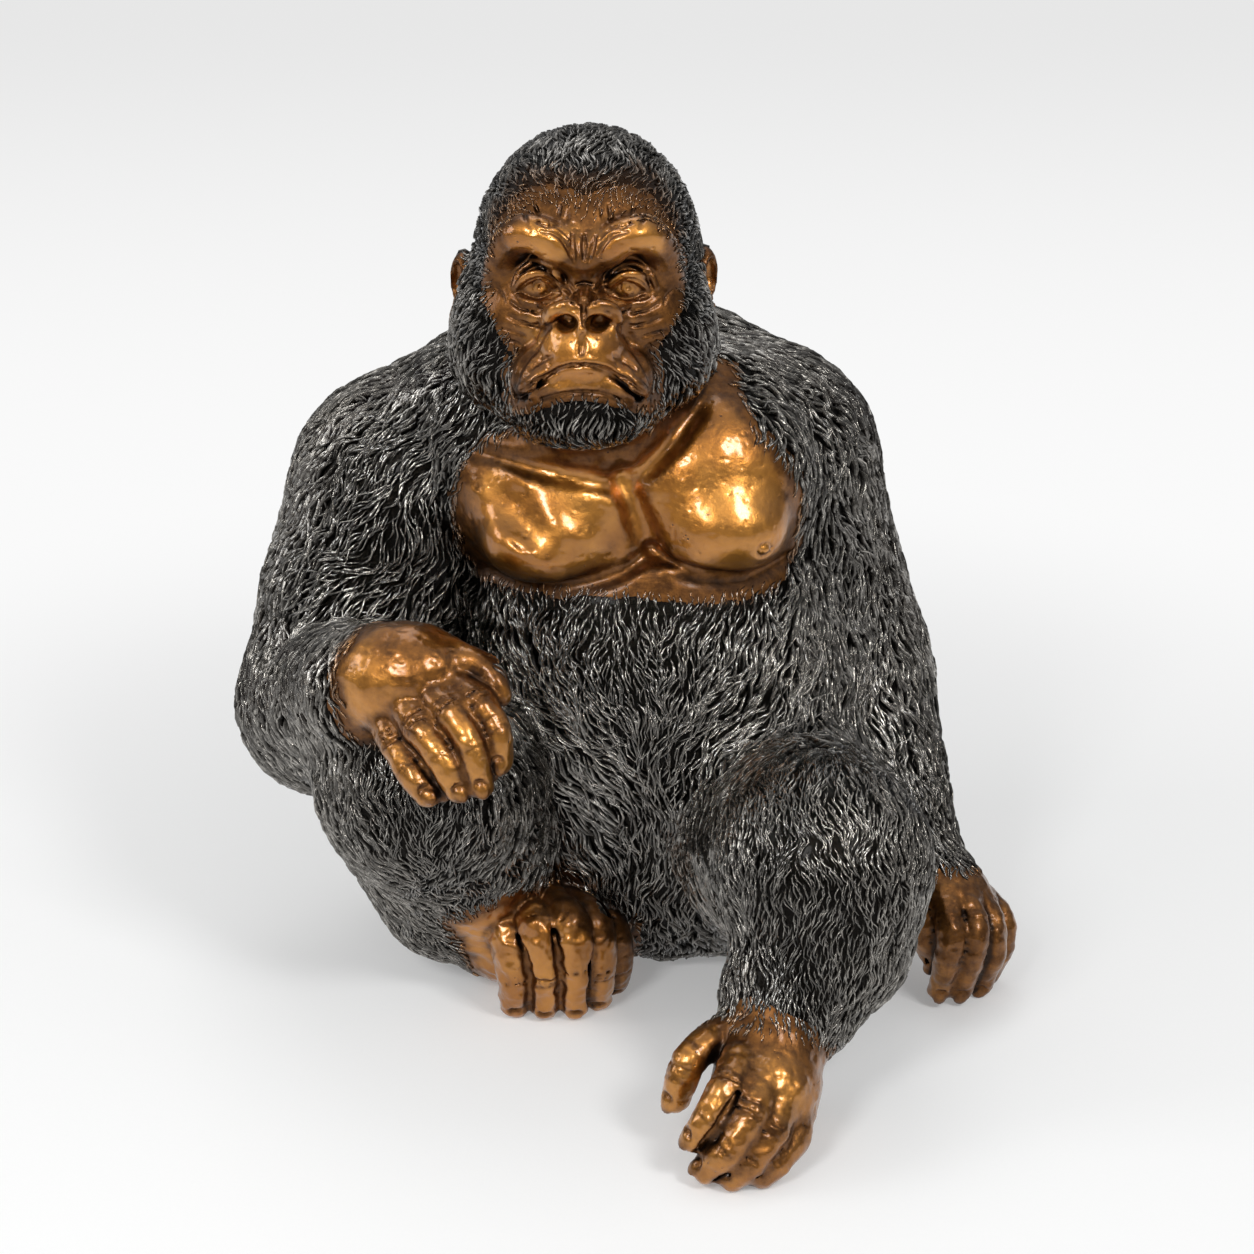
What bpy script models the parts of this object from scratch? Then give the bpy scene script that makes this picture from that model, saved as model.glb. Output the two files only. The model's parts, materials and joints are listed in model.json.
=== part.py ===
# Seated gorilla figurine, one bronze casting.
# The figure is modelled like clay: a distance field is built up from
# ellipsoids and tapered limbs, blended, and then skinned with triangles.
# It faces -Y, its own left side is +X, and it sits on the plane z = 0.
# The modelling is in millimetres and the finished object is in metres.
import bpy
import numpy as np
import openvdb

# Driving values, in millimetres and degrees
HEIGHT = 359.1
GRID_STEP = 1.6
GRID_LOW = (-172.0, -252.0, -6.0)
GRID_HIGH = (176.0, 124.0, 372.0)
FAR = 30.0
MOST_TRIANGLES = 11700
FACE_MIDDLE = (0.0, -42.0, -5.0)
FACE_REACH = 44.0
FACE_WEIGHT = 0.9
FACE_KEEPS = 10.0
GROUND = 0.0
NEAR_GROUND = 0.6
METRES = 0.001

# Landmarks of the body: x, y, z and the radius of the body there
NAPE = (-17.0, 8.0, 264.0, 40.0)
RIGHT_SHOULDER = (-92.0, 4.0, 196.0, 46.0)
RIGHT_ELBOW = (-125.0, -28.0, 111.0, 37.0)
RIGHT_WRIST = (-104.0, -103.0, 148.0, 22.0)
LEFT_SHOULDER = (60.0, 8.0, 208.0, 42.0)
LEFT_ELBOW = (93.0, -3.0, 115.0, 36.0)
LEFT_WRIST = (120.0, -60.0, 48.0, 21.0)
RIGHT_HIP = (-60.0, 0.0, 50.0, 52.0)
RIGHT_KNEE = (-80.0, -88.0, 101.0, 42.0)
RIGHT_ANKLE = (-54.0, -64.0, 26.0, 25.0)
LEFT_HIP = (55.0, -10.0, 50.0, 52.0)
LEFT_KNEE = (77.0, -148.0, 93.0, 40.0)
LEFT_ANKLE = (55.0, -188.0, 36.0, 21.0)
HEAD_AT = (-17.0, -45.0, 297.5)
HEAD_PITCH = -6.0
HEAD_ROLL = 0.6

# Radii of a digit from its root to its tip, and of the flesh between two digits
FINGER_RADII = (6.2, 6.3, 6.0, 5.2)
TOE_RADII = (6.8, 6.9, 6.4, 5.8)
WEB_RADII = (5.4, 5.0, 4.4, 3.2)


def turned(pitch=0.0, yaw=0.0, roll=0.0):
    """Rotation matrix: pitch about X, then roll about Y, then yaw about Z."""
    a, b, c = np.radians([pitch, yaw, roll])
    about_x = np.array([[1, 0, 0], [0, np.cos(a), -np.sin(a)], [0, np.sin(a), np.cos(a)]])
    about_y = np.array([[np.cos(c), 0, np.sin(c)], [0, 1, 0], [-np.sin(c), 0, np.cos(c)]])
    about_z = np.array([[np.cos(b), -np.sin(b), 0], [np.sin(b), np.cos(b), 0], [0, 0, 1]])
    return about_z @ about_y @ about_x


class Frame:
    """A place and a turn that shapes are given in."""

    def __init__(self, origin=(0.0, 0.0, 0.0), turn=None):
        self.origin = np.array(origin, float)
        self.axes = np.eye(3) if turn is None else turn

    def at(self, point):
        return self.origin + self.axes @ np.array(point, float)


WORLD = Frame()
HEAD = Frame(HEAD_AT, turned(pitch=HEAD_PITCH, roll=HEAD_ROLL))
RIGHT_PALM = Frame(RIGHT_WRIST[:3])
LEFT_PALM = Frame(LEFT_WRIST[:3])
RIGHT_SOLE = Frame(RIGHT_ANKLE[:3])
LEFT_SOLE = Frame(LEFT_ANKLE[:3])


class Blob:
    """Ellipsoid."""

    def __init__(self, at, radii, turn=None, frame=WORLD):
        self.centre = frame.at(at)
        self.radii = np.array(radii, float) * np.ones(3)
        self.axes = frame.axes if turn is None else frame.axes @ turn
        reach = np.sqrt(((self.axes * self.radii) ** 2).sum(1))
        self.low = self.centre - reach
        self.high = self.centre + reach

    def distance(self, x, y, z):
        x, y, z = x - self.centre[0], y - self.centre[1], z - self.centre[2]
        first = 0.0
        second = 1e-12
        for axis, radius in zip(self.axes.T, self.radii):
            along = axis[0] * x + axis[1] * y + axis[2] * z
            first = first + (along / radius) ** 2
            second = second + (along / radius**2) ** 2
        first = np.sqrt(first)
        return first * (first - 1.0) / np.sqrt(second)


class Limb:
    """Chain of tapered round lengths through points (x, y, z, radius)."""

    def __init__(self, points, frame=WORLD, spans=1, blend=0.0):
        points = np.array(points, float)
        if spans > 1:
            points = curved(points, spans)
        self.points = np.array([frame.at(point[:3]) for point in points])
        self.radii = points[:, 3]
        self.blend = blend
        reach = self.radii.max()
        self.low = self.points.min(0) - reach
        self.high = self.points.max(0) + reach

    def distance(self, x, y, z):
        nearest = None
        lengths = zip(self.points[:-1], self.points[1:], self.radii[:-1], self.radii[1:])
        for start, end, first, last in lengths:
            run = end - start
            dx, dy, dz = x - start[0], y - start[1], z - start[2]
            share = (dx * run[0] + dy * run[1] + dz * run[2]) / max(run @ run, 1e-9)
            share = np.clip(share, 0.0, 1.0)
            dx, dy, dz = dx - share * run[0], dy - share * run[1], dz - share * run[2]
            here = np.sqrt(dx * dx + dy * dy + dz * dz) - (first + share * (last - first))
            nearest = here if nearest is None else blended(nearest, here, self.blend)
        return nearest


def curved(points, spans):
    """Smooth curve through the points, each stretch cut into spans."""
    ends = np.vstack([2 * points[0] - points[1], points, 2 * points[-1] - points[-2]])
    found = []
    for before, start, end, after in zip(ends, ends[1:], ends[2:], ends[3:]):
        for t in np.arange(spans) / spans:
            slope = (end - before) * t
            bend = (2 * before - 5 * start + 4 * end - after) * t**2
            twist = (3 * start - before - 3 * end + after) * t**3
            found.append(0.5 * (2 * start + slope + bend + twist))
    found.append(points[-1])
    return np.array(found)


def blended(first, second, width):
    """Smaller of two distances, rounded over the width where they meet."""
    if width <= 0:
        return np.minimum(first, second)
    meet = np.maximum(width - np.abs(first - second), 0.0) / width
    return np.minimum(first, second) - meet * meet * (width / 4)


class Clay:
    """Distance field on a grid, negative inside the figure."""

    def __init__(self, low, high, step):
        self.step = step
        self.axes = [np.arange(low[i], high[i], step, np.float32) for i in range(3)]
        self.field = np.full([len(axis) for axis in self.axes], FAR, np.float32)

    def window(self, low, high):
        found = []
        for axis, start, end in zip(self.axes, low, high):
            found.append(slice(*np.searchsorted(axis, [start, end])))
        return tuple(found)

    def points(self, window):
        x, y, z = [axis[part] for axis, part in zip(self.axes, window)]
        return x[:, None, None], y[None, :, None], z[None, None, :]

    def reach(self, shape, blend):
        pad = max(blend, 2 * self.step) + 2
        return self.window(shape.low - pad, shape.high + pad)

    def add(self, shape, blend=0.0):
        window = self.reach(shape, blend)
        if self.field[window].size:
            found = shape.distance(*self.points(window))
            self.field[window] = blended(self.field[window], found, blend)

    def cut(self, shape, blend=0.0):
        window = self.reach(shape, blend)
        if self.field[window].size:
            found = shape.distance(*self.points(window))
            self.field[window] = -blended(-self.field[window], found, blend)

    def join(self, shapes, blend):
        """Shapes modelled by themselves first, then blended on as one."""
        solid = [shape for kind, shape, _ in shapes if kind == "add"]
        low = np.min([shape.low for shape in solid], 0) - 8
        high = np.max([shape.high for shape in solid], 0) + 8
        window = self.window(low, high)
        if not self.field[window].size:
            return
        own = Clay(low, low, self.step)
        own.axes = [axis[part] for axis, part in zip(self.axes, window)]
        own.field = np.full([len(axis) for axis in own.axes], FAR, np.float32)
        for kind, shape, width in shapes:
            if kind == "add":
                own.add(shape, width)
            else:
                own.cut(shape, width)
        self.field[window] = blended(self.field[window], own.field, blend)

    def flatten(self, height):
        """Takes off what lies under a level plane."""
        levels = self.axes[2][None, None, :]
        self.field = np.maximum(self.field, height - levels)

    def at(self, points):
        """Distance at free points, read between the grid's own."""
        low = np.array([axis[0] for axis in self.axes])
        place = (points - low) / self.step
        place = np.clip(place, 0, np.array(self.field.shape) - 1.001)
        cell = place.astype(int)
        part = (place - cell).astype(np.float32)
        found = 0.0
        for corner in range(8):
            step = np.array([corner & 1, corner >> 1 & 1, corner >> 2])
            share = np.prod(np.where(step, part, 1 - part), axis=1)
            x, y, z = (cell + step).T
            found = found + share * self.field[x, y, z]
        return found

    def laid(self, line, frame=WORLD, above=0.0):
        """Limb along (x, z, radius) points, laid on the front of the skin."""
        depth = np.arange(-125, 0, 0.5)
        found = []
        for x, z, radius in line:
            ray = np.stack([np.full(len(depth), x), depth, np.full(len(depth), z)], 1)
            inside = self.at(frame.origin + ray @ frame.axes.T) < 0
            found.append((x, depth[np.argmax(inside)] - above, z, radius))
        return Limb(found, frame, 3)

    def crease(self, line, blend, frame=WORLD):
        self.cut(self.laid(line, frame), blend)

    def fold(self, line, blend, frame=WORLD, above=-0.8):
        self.add(self.laid(line, frame, above), blend)

    def skin(self):
        """Points and four-sided faces of the surface, faces outward."""
        grid = openvdb.FloatGrid(FAR)
        grid.copyFromArray(np.clip(self.field, -FAR, FAR))
        points, triangles, quads = grid.convertToPolygons(0.0, 0.0)
        low = np.array([axis[0] for axis in self.axes], float)
        points = np.asarray(points, float) * self.step + low
        return points, np.asarray(quads).tolist() + np.asarray(triangles).tolist()


def add(shape, blend=0.0):
    return ("add", shape, blend)


def cut(shape, blend=0.0):
    return ("cut", shape, blend)


def on_head(side, points, spans=1, blend=0.0):
    """Limb in the head's frame; side -1 mirrors it to the right of the head."""
    points = [(side * x, y, z, radius) for x, y, z, radius in points]
    return Limb(points, HEAD, spans, blend)


def head_blob(side, at, radii, pitch=0.0, yaw=0.0, roll=0.0):
    at = (side * at[0], at[1], at[2])
    return Blob(at, radii, turned(pitch, side * yaw, side * roll), HEAD)


def skull():
    shapes = [add(Blob((1.5, 6, 12), (44.5, 50, 50.5), frame=HEAD))]
    shapes.append(add(Blob((0, -17, 17), (37, 29, 32), frame=HEAD), 8))
    shapes.append(add(Blob((0, -1, -20), (48, 43, 40), frame=HEAD), 8))
    for side in (1, -1):
        shapes.append(add(head_blob(side, (37, -1, -17), (15, 32, 28)), 10))
        shapes.append(add(head_blob(side, (22, -25, -6), (18, 15, 16)), 10))
    shapes.append(add(Blob((0, -24, -38), (31, 26, 22), frame=HEAD), 10))
    return shapes


def brow_and_eyes():
    shapes = []
    for side in (1, -1):
        shapes.append(cut(head_blob(side, (18.5, -48, 11.5), (14, 13, 13)), 4))
    ridge = [
        (0, -41, 17.5, 6.5),
        (8, -43.5, 21, 7),
        (17, -45, 27, 7),
        (25, -41.5, 26.5, 7),
        (31, -34, 18, 6),
        (34, -27, 6, 5),
    ]
    upper = [
        (8.5, -37, 3, 1.5),
        (12, -40, 9, 2),
        (16.8, -41.3, 11.4, 2.1),
        (21.5, -40, 9.5, 2),
        (26.5, -35, 3.6, 1.6),
    ]
    lower = [
        (8.5, -37, 3, 1.4),
        (12.5, -39.8, 1, 1.6),
        (17, -40.7, 0, 1.7),
        (22, -39.4, 1.1, 1.6),
        (26.5, -35, 3.6, 1.5),
    ]
    bag = [
        (8, -40, -1.5, 1.6),
        (13, -41.3, -4.4, 1.8),
        (19, -40.8, -5.2, 1.9),
        (25.5, -36.8, -2.8, 1.8),
        (30, -32, 2.5, 1.5),
    ]
    for side in (1, -1):
        shapes.append(add(on_head(side, ridge, 3, 1), 4))
    for side in (1, -1):
        shapes.append(add(head_blob(side, (16.8, -31, 6.4), 9.6), 0.4))
        shapes.append(add(on_head(side, upper, 3), 1.2))
        shapes.append(add(on_head(side, lower, 3), 1.2))
        shapes.append(add(on_head(side, bag, 3), 2.5))
    return shapes


def muzzle():
    bridge = [(0, -39, 18, 6), (0.5, -40, 9, 4.2), (1, -44.5, 4, 4.8), (0.5, -50, 0, 6)]
    shapes = [add(Limb(bridge, HEAD, 2), 4)]
    for side in (1, -1):
        shapes.append(add(head_blob(side, (26, -26, -9), (10, 12, 10)), 6))
    shapes.append(add(Blob((0, -42, -17), (18, 21, 17), frame=HEAD), 3))
    for side in (1, -1):
        shapes.append(add(head_blob(side, (14, -41, -28), (13.5, 18, 13), yaw=10), 3))
    lip = [(-20, -43, -36, 6), (-10, -51, -32, 6.5), (0, -54, -29, 7), (10, -51, -32, 6.5)]
    lip.append((20, -43, -36, 6))
    shapes.append(add(Limb(lip, HEAD, 3), 3))
    shapes.append(add(Blob((0, -38, -41), (25, 16, 13), frame=HEAD), 7))
    half = [(22.5, -51.5, -33, 1.2), (14.8, -57.5, -27, 1.0), (8, -61.5, -22, 0.9)]
    mouth = [(-x, y, z, radius) for x, y, z, radius in half]
    mouth += [(0, -63.5, -20, 0.9)] + half[::-1]
    for depth in (-2.5, 0, 2.5):
        line = [(x, y + depth, z, radius) for x, y, z, radius in mouth]
        shapes.append(cut(Limb(line, HEAD, 3), 1.5))
    for side in (1, -1):
        shapes.append(cut(head_blob(side, (22.5, -52, -33), (1.7, 4, 2.4)), 2))
    return shapes


def nose():
    wing = [
        (1.5, -57, -1.4, 2.8),
        (6, -56.5, 0.8, 3),
        (10.5, -53.5, -0.4, 3.2),
        (12.6, -50.5, -5, 3.2),
        (9.5, -53, -9.5, 2.6),
    ]
    shapes = []
    for side in (1, -1):
        shapes.append(add(on_head(side, wing, 3), 2.5))
    shapes.append(add(Blob((0, -56, -7), (2.8, 6, 7), frame=HEAD), 2))
    for side in (1, -1):
        shapes.append(cut(head_blob(side, (6.2, -60, -4.4), (4.6, 8, 3.4), roll=14), 1))
    return shapes


def ears():
    shapes = []
    for side in (1, -1):
        height = 3.5 + 1.5 * side
        shapes.append(add(head_blob(side, (48, 5, height), (5, 7.5, 11), yaw=20), 1))
        shapes.append(cut(head_blob(side, (51, 0.5, height), (3.2, 4.5, 7.5), yaw=20), 1))
    return shapes


def digits(frame, lines, radii, sink):
    """Fingers or toes along lines, with flesh sunk between each two."""
    shapes = []
    for line in lines:
        points = [(*point, radius) for point, radius in zip(line, radii)]
        shapes.append(add(Limb(points, frame, 3), 3))
    for first, second in zip(lines, lines[1:]):
        between = (np.array(first) + np.array(second)) / 2 + sink
        points = [(*point, radius) for point, radius in zip(between, WEB_RADII)]
        shapes.append(add(Limb(points, frame, 3), 2))
    return shapes


def right_hand():
    palm = [(-4, 0, 2, 20), (10, -8, 9, 20), (20, -11, 12, 19)]
    shapes = [add(Limb(palm, RIGHT_PALM, blend=8))]
    shapes.append(add(Blob((24, -12, 11), (24, 18, 18), turned(roll=14), RIGHT_PALM), 8))
    lines = [
        [(34, -20, 11), (46, -32, 9), (54, -39, 0), (55, -42, -12)],
        [(25, -22, 9), (36, -36, 6), (44, -45, -4), (48, -48, -19)],
        [(16, -22, 6), (24, -36, 0), (33, -46, -9), (39, -48, -21)],
        [(7, -18, 0), (14, -30, -8), (20, -41, -16), (27, -46, -24)],
    ]
    shapes += digits(RIGHT_PALM, lines, FINGER_RADII, (0, 3.4, -2.2))
    thumb = [(36, -13, 20, 7), (47, -19, 19, 5.6), (53, -24, 14, 5), (55, -26, 9, 4.6)]
    shapes.append(add(Limb(thumb, RIGHT_PALM, 3), 3))
    return shapes


def left_hand():
    palm = [(1, 0, -1, 20), (13, -10, -9, 19)]
    shapes = [add(Limb(palm, LEFT_PALM, blend=4))]
    shapes.append(add(Blob((15, -12, -14), (20, 17, 18), frame=LEFT_PALM), 6))
    lines = [
        [(7, -16, -2), (5, -24, -9), (5, -27, -18), (7, -23, -27)],
        [(12, -20, -1), (14, -33, -8), (14, -38, -19), (11, -33, -40)],
        [(20, -19, -2), (24, -31, -9), (24, -36, -20), (20, -31, -41)],
        [(27, -14, -6), (32, -23, -13), (33, -28, -25), (29, -23, -43)],
        [(32, -4, -13), (38, -11, -19), (38, -14, -30), (34, -11, -45)],
    ]
    shapes += digits(LEFT_PALM, lines, FINGER_RADII, (-1, 3.6, -1))
    return shapes


def right_foot():
    shapes = [add(Blob((18, -8, -2), (34, 28, 24), turned(yaw=8), RIGHT_SOLE))]
    shapes.append(add(Blob((-4, 0, -1), (22, 22, 19), frame=RIGHT_SOLE), 8))
    shapes.append(add(Blob((22, -31, 9), (22, 8, 10), frame=RIGHT_SOLE), 6))
    lines = [
        [(1, -24, 12), (5.5, -36, 10), (8, -40, -6), (7.5, -37, -20)],
        [(12, -27, 18), (17.5, -40, 16), (20.5, -43, -1), (20, -39, -20)],
        [(24, -25, 20), (30.5, -39, 17), (33, -42, -1), (32.5, -38, -20)],
        [(34, -20, 16), (40, -32, 13), (42.5, -35, -4), (42, -31, -20)],
        [(42, -10, 10), (47, -22, 4), (49.5, -24, -8), (49, -20, -19)],
    ]
    shapes += digits(RIGHT_SOLE, lines, TOE_RADII, (0, 4, -1))
    return shapes


def left_foot():
    heel = [(2, 6, 1, 21), (-2, -14, -12, 19)]
    shapes = [add(Limb(heel, LEFT_SOLE, blend=4))]
    shapes.append(add(Blob((-1, -10, -10), (20, 26, 20), frame=LEFT_SOLE), 6))
    lines = [
        [(-17, 0, 6), (-29, -12, 3), (-34, -16, -5), (-36, -16, -14)],
        [(-12, -18, 4), (-17, -32, 0), (-24, -39, -8), (-29, -39, -17)],
        [(-5, -24, -1), (-9, -38, -8), (-17, -45, -20), (-25, -42, -29)],
        [(3, -23, -7), (-1, -37, -15), (-8, -44, -24), (-15, -44, -31)],
        [(9, -16, -14), (8, -29, -22), (1, -39, -27), (-4, -42, -31)],
    ]
    shapes += digits(LEFT_SOLE, lines[1:], TOE_RADII, (1.5, 2.5, -3))
    shapes += digits(LEFT_SOLE, lines[:1], TOE_RADII, (0, 0, 0))
    return shapes


def breast(clay):
    """Breast muscles, with the folds round them."""
    clay.add(Blob((-10, -50, 240), (30, 24, 20), turned(pitch=-20)), 8)
    clay.add(Blob((-33, -47, 212), (41, 26, 34), turned(pitch=-10, yaw=-16)), 10)
    clay.add(Blob((38, -46, 216), (38, 26, 37), turned(pitch=-10, yaw=16)), 10)
    clay.add(Blob((-34, -66, 198), (24, 18, 17)), 9)
    clay.add(Blob((40, -63, 202), (24, 18, 18)), 9)
    collar = [(-60, 231, 1), (-36, 229, 2), (-18, 226, 2.2), (-2, 223, 2.4)]
    collar += [(9, 230, 2.2), (19, 240, 2), (27, 248, 1)]
    clay.crease(collar, 7)
    clay.crease([(-2, 224, 1.6), (5, 208, 2.6), (10, 194, 2.2)], 8)
    clay.crease([(-58, 180, 1), (-40, 179, 2), (-20, 182, 2.2), (-2, 187, 2), (10, 194, 1.6)], 5)
    clay.crease([(66, 186, 1), (52, 183, 2), (38, 185, 2.2), (22, 188, 2), (10, 194, 1.6)], 5)


def limb(clay, first, last, blend, *between):
    """Length of arm or leg from one landmark to another."""
    clay.add(Limb([first, *between, last]), blend)


def figure(step):
    clay = Clay(GRID_LOW, GRID_HIGH, step)
    # Trunk
    clay.add(Blob((12, 0, 50), (90, 84, 62)))
    clay.add(Blob((16, -18, 108), (88, 76, 80)), 25)
    clay.add(Blob((8, -28, 150), (72, 54, 50)), 20)
    clay.add(Blob((4, 0, 196), (86, 64, 58)), 30)
    clay.add(Blob((-6, 28, 222), (80, 54, 50)), 25)
    clay.add(Blob((4, 25, 134), (80, 62, 80)), 25)
    # Shoulders and nape
    limb(clay, (-34, 4, 240, 32), RIGHT_SHOULDER, 25)
    limb(clay, (8, 10, 226, 30), LEFT_SHOULDER, 18)
    limb(clay, (-19, -8, 286, 36), (-10, 30, 230, 48), 16, NAPE)
    limb(clay, (-12, -34, 250, 20), (-62, -18, 236, 26), 16)
    limb(clay, (8, -34, 250, 20), (46, -14, 236, 24), 14)
    breast(clay)
    # Arms
    limb(clay, RIGHT_SHOULDER, RIGHT_ELBOW, 12, (-110, -12, 152, 44))
    limb(clay, RIGHT_ELBOW, RIGHT_WRIST, 8)
    limb(clay, LEFT_SHOULDER, LEFT_ELBOW, 12)
    limb(clay, LEFT_ELBOW, LEFT_WRIST, 8)
    # Legs
    limb(clay, RIGHT_HIP, RIGHT_KNEE, 18)
    limb(clay, RIGHT_KNEE, RIGHT_ANKLE, 10, (-84, -62, 76, 38), (-72, -60, 42, 34))
    limb(clay, RIGHT_KNEE, (-56, -70, 42, 30), 8)
    limb(clay, LEFT_HIP, LEFT_KNEE, 18)
    limb(clay, LEFT_KNEE, LEFT_ANKLE, 8, (76, -158, 68, 35), (64, -172, 48, 27))
    clay.join(skull() + brow_and_eyes() + muzzle() + nose() + ears(), 6)
    clay.join(right_hand(), 3)
    clay.join(left_hand(), 3)
    clay.join(right_foot(), 4)
    clay.join(left_foot(), 3)
    clay.flatten(GROUND)
    return clay


def bronze():
    """Waxed brown bronze."""
    material = bpy.data.materials.new("bronze")
    material.use_nodes = True
    shader = material.node_tree.nodes["Principled BSDF"]
    shader.inputs["Base Color"].default_value = (0.16, 0.085, 0.035, 1.0)
    shader.inputs["Metallic"].default_value = 1.0
    shader.inputs["Roughness"].default_value = 0.35
    return material


def thinned(body, points, most):
    """The body's mesh in fewer triangles, most of them where it is carved finest."""
    away = np.linalg.norm(points - HEAD.at(FACE_MIDDLE), axis=1)
    face = body.vertex_groups.new(name="face")
    face.add(np.flatnonzero(away < FACE_REACH).tolist(), FACE_WEIGHT, "REPLACE")
    full = sum(len(polygon.vertices) - 2 for polygon in body.data.polygons)
    thin = body.modifiers.new("thin", "DECIMATE")
    thin.ratio = most / full
    thin.use_collapse_triangulate = True
    thin.vertex_group = face.name
    thin.invert_vertex_group = True
    thin.vertex_group_factor = FACE_KEEPS
    graph = bpy.context.evaluated_depsgraph_get()
    mesh = bpy.data.meshes.new_from_object(body.evaluated_get(graph))
    body.modifiers.clear()
    body.vertex_groups.clear()
    return mesh


def seated(mesh):
    """Brings to the stated height, with the middle of the footprint at the origin."""
    points = np.empty(len(mesh.vertices) * 3)
    mesh.vertices.foreach_get("co", points)
    points = points.reshape(-1, 3)
    points[points[:, 2] < NEAR_GROUND, 2] = GROUND
    points *= HEIGHT / points[:, 2].max()
    middle = (points.min(0) + points.max(0)) / 2
    points[:, :2] -= middle[:2]
    mesh.vertices.foreach_set("co", (points * METRES).ravel())
    mesh.update()


def build():
    for old in list(bpy.data.objects):
        bpy.data.objects.remove(old)
    points, faces = figure(GRID_STEP).skin()
    rough = bpy.data.meshes.new("clay")
    rough.from_pydata(points.tolist(), [], faces)
    gorilla = bpy.data.objects.new("gorilla", rough)
    bpy.context.scene.collection.objects.link(gorilla)
    mesh = thinned(gorilla, points, MOST_TRIANGLES)
    seated(mesh)
    mesh.materials.append(bronze())
    gorilla.data = mesh


build()
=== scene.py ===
"""Seated gorilla bronze.

The figure is modelled as a distance field, like clay, skinned at a fine step
where it is bare, and its fur is laid on as tapered wavy strands that follow
the way the hair lies. Modelling is in millimetres; the scene is in metres.
"""

import math

import bpy
import numpy as np
import openvdb
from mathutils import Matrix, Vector
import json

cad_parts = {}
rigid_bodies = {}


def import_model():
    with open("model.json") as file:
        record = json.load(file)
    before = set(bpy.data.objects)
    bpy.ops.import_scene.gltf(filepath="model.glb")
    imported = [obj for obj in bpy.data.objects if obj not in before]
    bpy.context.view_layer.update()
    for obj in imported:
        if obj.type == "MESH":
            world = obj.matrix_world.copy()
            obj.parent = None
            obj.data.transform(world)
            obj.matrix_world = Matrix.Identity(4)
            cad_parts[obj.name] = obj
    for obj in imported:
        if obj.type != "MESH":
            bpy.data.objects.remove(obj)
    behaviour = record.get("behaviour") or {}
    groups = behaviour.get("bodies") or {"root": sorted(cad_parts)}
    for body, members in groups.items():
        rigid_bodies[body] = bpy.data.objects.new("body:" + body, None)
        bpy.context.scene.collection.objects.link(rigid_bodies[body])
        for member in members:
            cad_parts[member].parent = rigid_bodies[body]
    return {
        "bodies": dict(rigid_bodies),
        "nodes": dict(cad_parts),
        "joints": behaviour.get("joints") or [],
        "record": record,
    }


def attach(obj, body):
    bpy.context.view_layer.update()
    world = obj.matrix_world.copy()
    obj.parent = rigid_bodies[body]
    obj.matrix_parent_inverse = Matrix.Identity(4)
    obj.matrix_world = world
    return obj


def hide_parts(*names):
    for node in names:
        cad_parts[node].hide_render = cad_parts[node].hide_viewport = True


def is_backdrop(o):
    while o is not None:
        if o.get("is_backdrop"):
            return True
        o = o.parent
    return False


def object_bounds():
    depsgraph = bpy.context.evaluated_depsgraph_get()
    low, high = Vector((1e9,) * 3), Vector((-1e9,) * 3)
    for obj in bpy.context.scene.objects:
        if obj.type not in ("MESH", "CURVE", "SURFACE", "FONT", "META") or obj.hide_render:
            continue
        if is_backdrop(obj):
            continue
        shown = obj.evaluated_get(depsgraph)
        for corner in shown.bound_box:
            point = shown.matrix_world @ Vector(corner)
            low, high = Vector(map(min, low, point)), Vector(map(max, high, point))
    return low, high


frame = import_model()
cad_low, cad_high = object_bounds()

# Driving values, in millimetres and degrees
GRID_LOW = (-172.0, -252.0, -6.0)
GRID_HIGH = (176.0, 124.0, 372.0)
FUR_STEP = 2.4  # grid step of the body that the hair is rooted on
BODY_STEP = 3.0  # grid step of the body that shows between the hair
FAR = 30.0
GROUND = 0.0
METRES = 0.001
SIDES = (1, -1)
NOISE_SEED = 11
FUR_SEED = 5

# Landmarks of the body: x, y, z and the radius of the body there
NAPE = (-17.0, 8.0, 264.0, 40.0)
RIGHT_SHOULDER = (-92.0, 4.0, 196.0, 46.0)
RIGHT_ELBOW = (-125.0, -28.0, 111.0, 37.0)
RIGHT_WRIST = (-104.0, -103.0, 148.0, 22.0)
LEFT_SHOULDER = (60.0, 8.0, 208.0, 42.0)
LEFT_ELBOW = (93.0, -3.0, 115.0, 36.0)
LEFT_WRIST = (120.0, -60.0, 48.0, 21.0)
RIGHT_HIP = (-60.0, 0.0, 50.0, 52.0)
RIGHT_KNEE = (-80.0, -88.0, 101.0, 42.0)
RIGHT_ANKLE = (-54.0, -64.0, 26.0, 25.0)
LEFT_HIP = (55.0, -10.0, 50.0, 52.0)
LEFT_KNEE = (77.0, -148.0, 93.0, 40.0)
LEFT_ANKLE = (55.0, -188.0, 36.0, 21.0)
HEAD_AT = (-17.0, -45.0, 297.5)
HEAD_PITCH = -6.0
HEAD_ROLL = 0.6

# Radii of a digit from its root to its tip, and of the flesh between two digits
FINGER_RADII = (6.2, 6.3, 6.0, 5.2)
TOE_RADII = (6.8, 6.9, 6.4, 5.8)
WEB_RADII = (5.4, 5.0, 4.4, 3.2)


def turned(pitch=0.0, yaw=0.0, roll=0.0):
    """Rotation matrix: pitch about X, then roll about Y, then yaw about Z."""
    a, b, c = np.radians([pitch, yaw, roll])
    about_x = np.array([[1, 0, 0], [0, np.cos(a), -np.sin(a)], [0, np.sin(a), np.cos(a)]])
    about_y = np.array([[np.cos(c), 0, np.sin(c)], [0, 1, 0], [-np.sin(c), 0, np.cos(c)]])
    about_z = np.array([[np.cos(b), -np.sin(b), 0], [np.sin(b), np.cos(b), 0], [0, 0, 1]])
    return about_z @ about_y @ about_x


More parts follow.
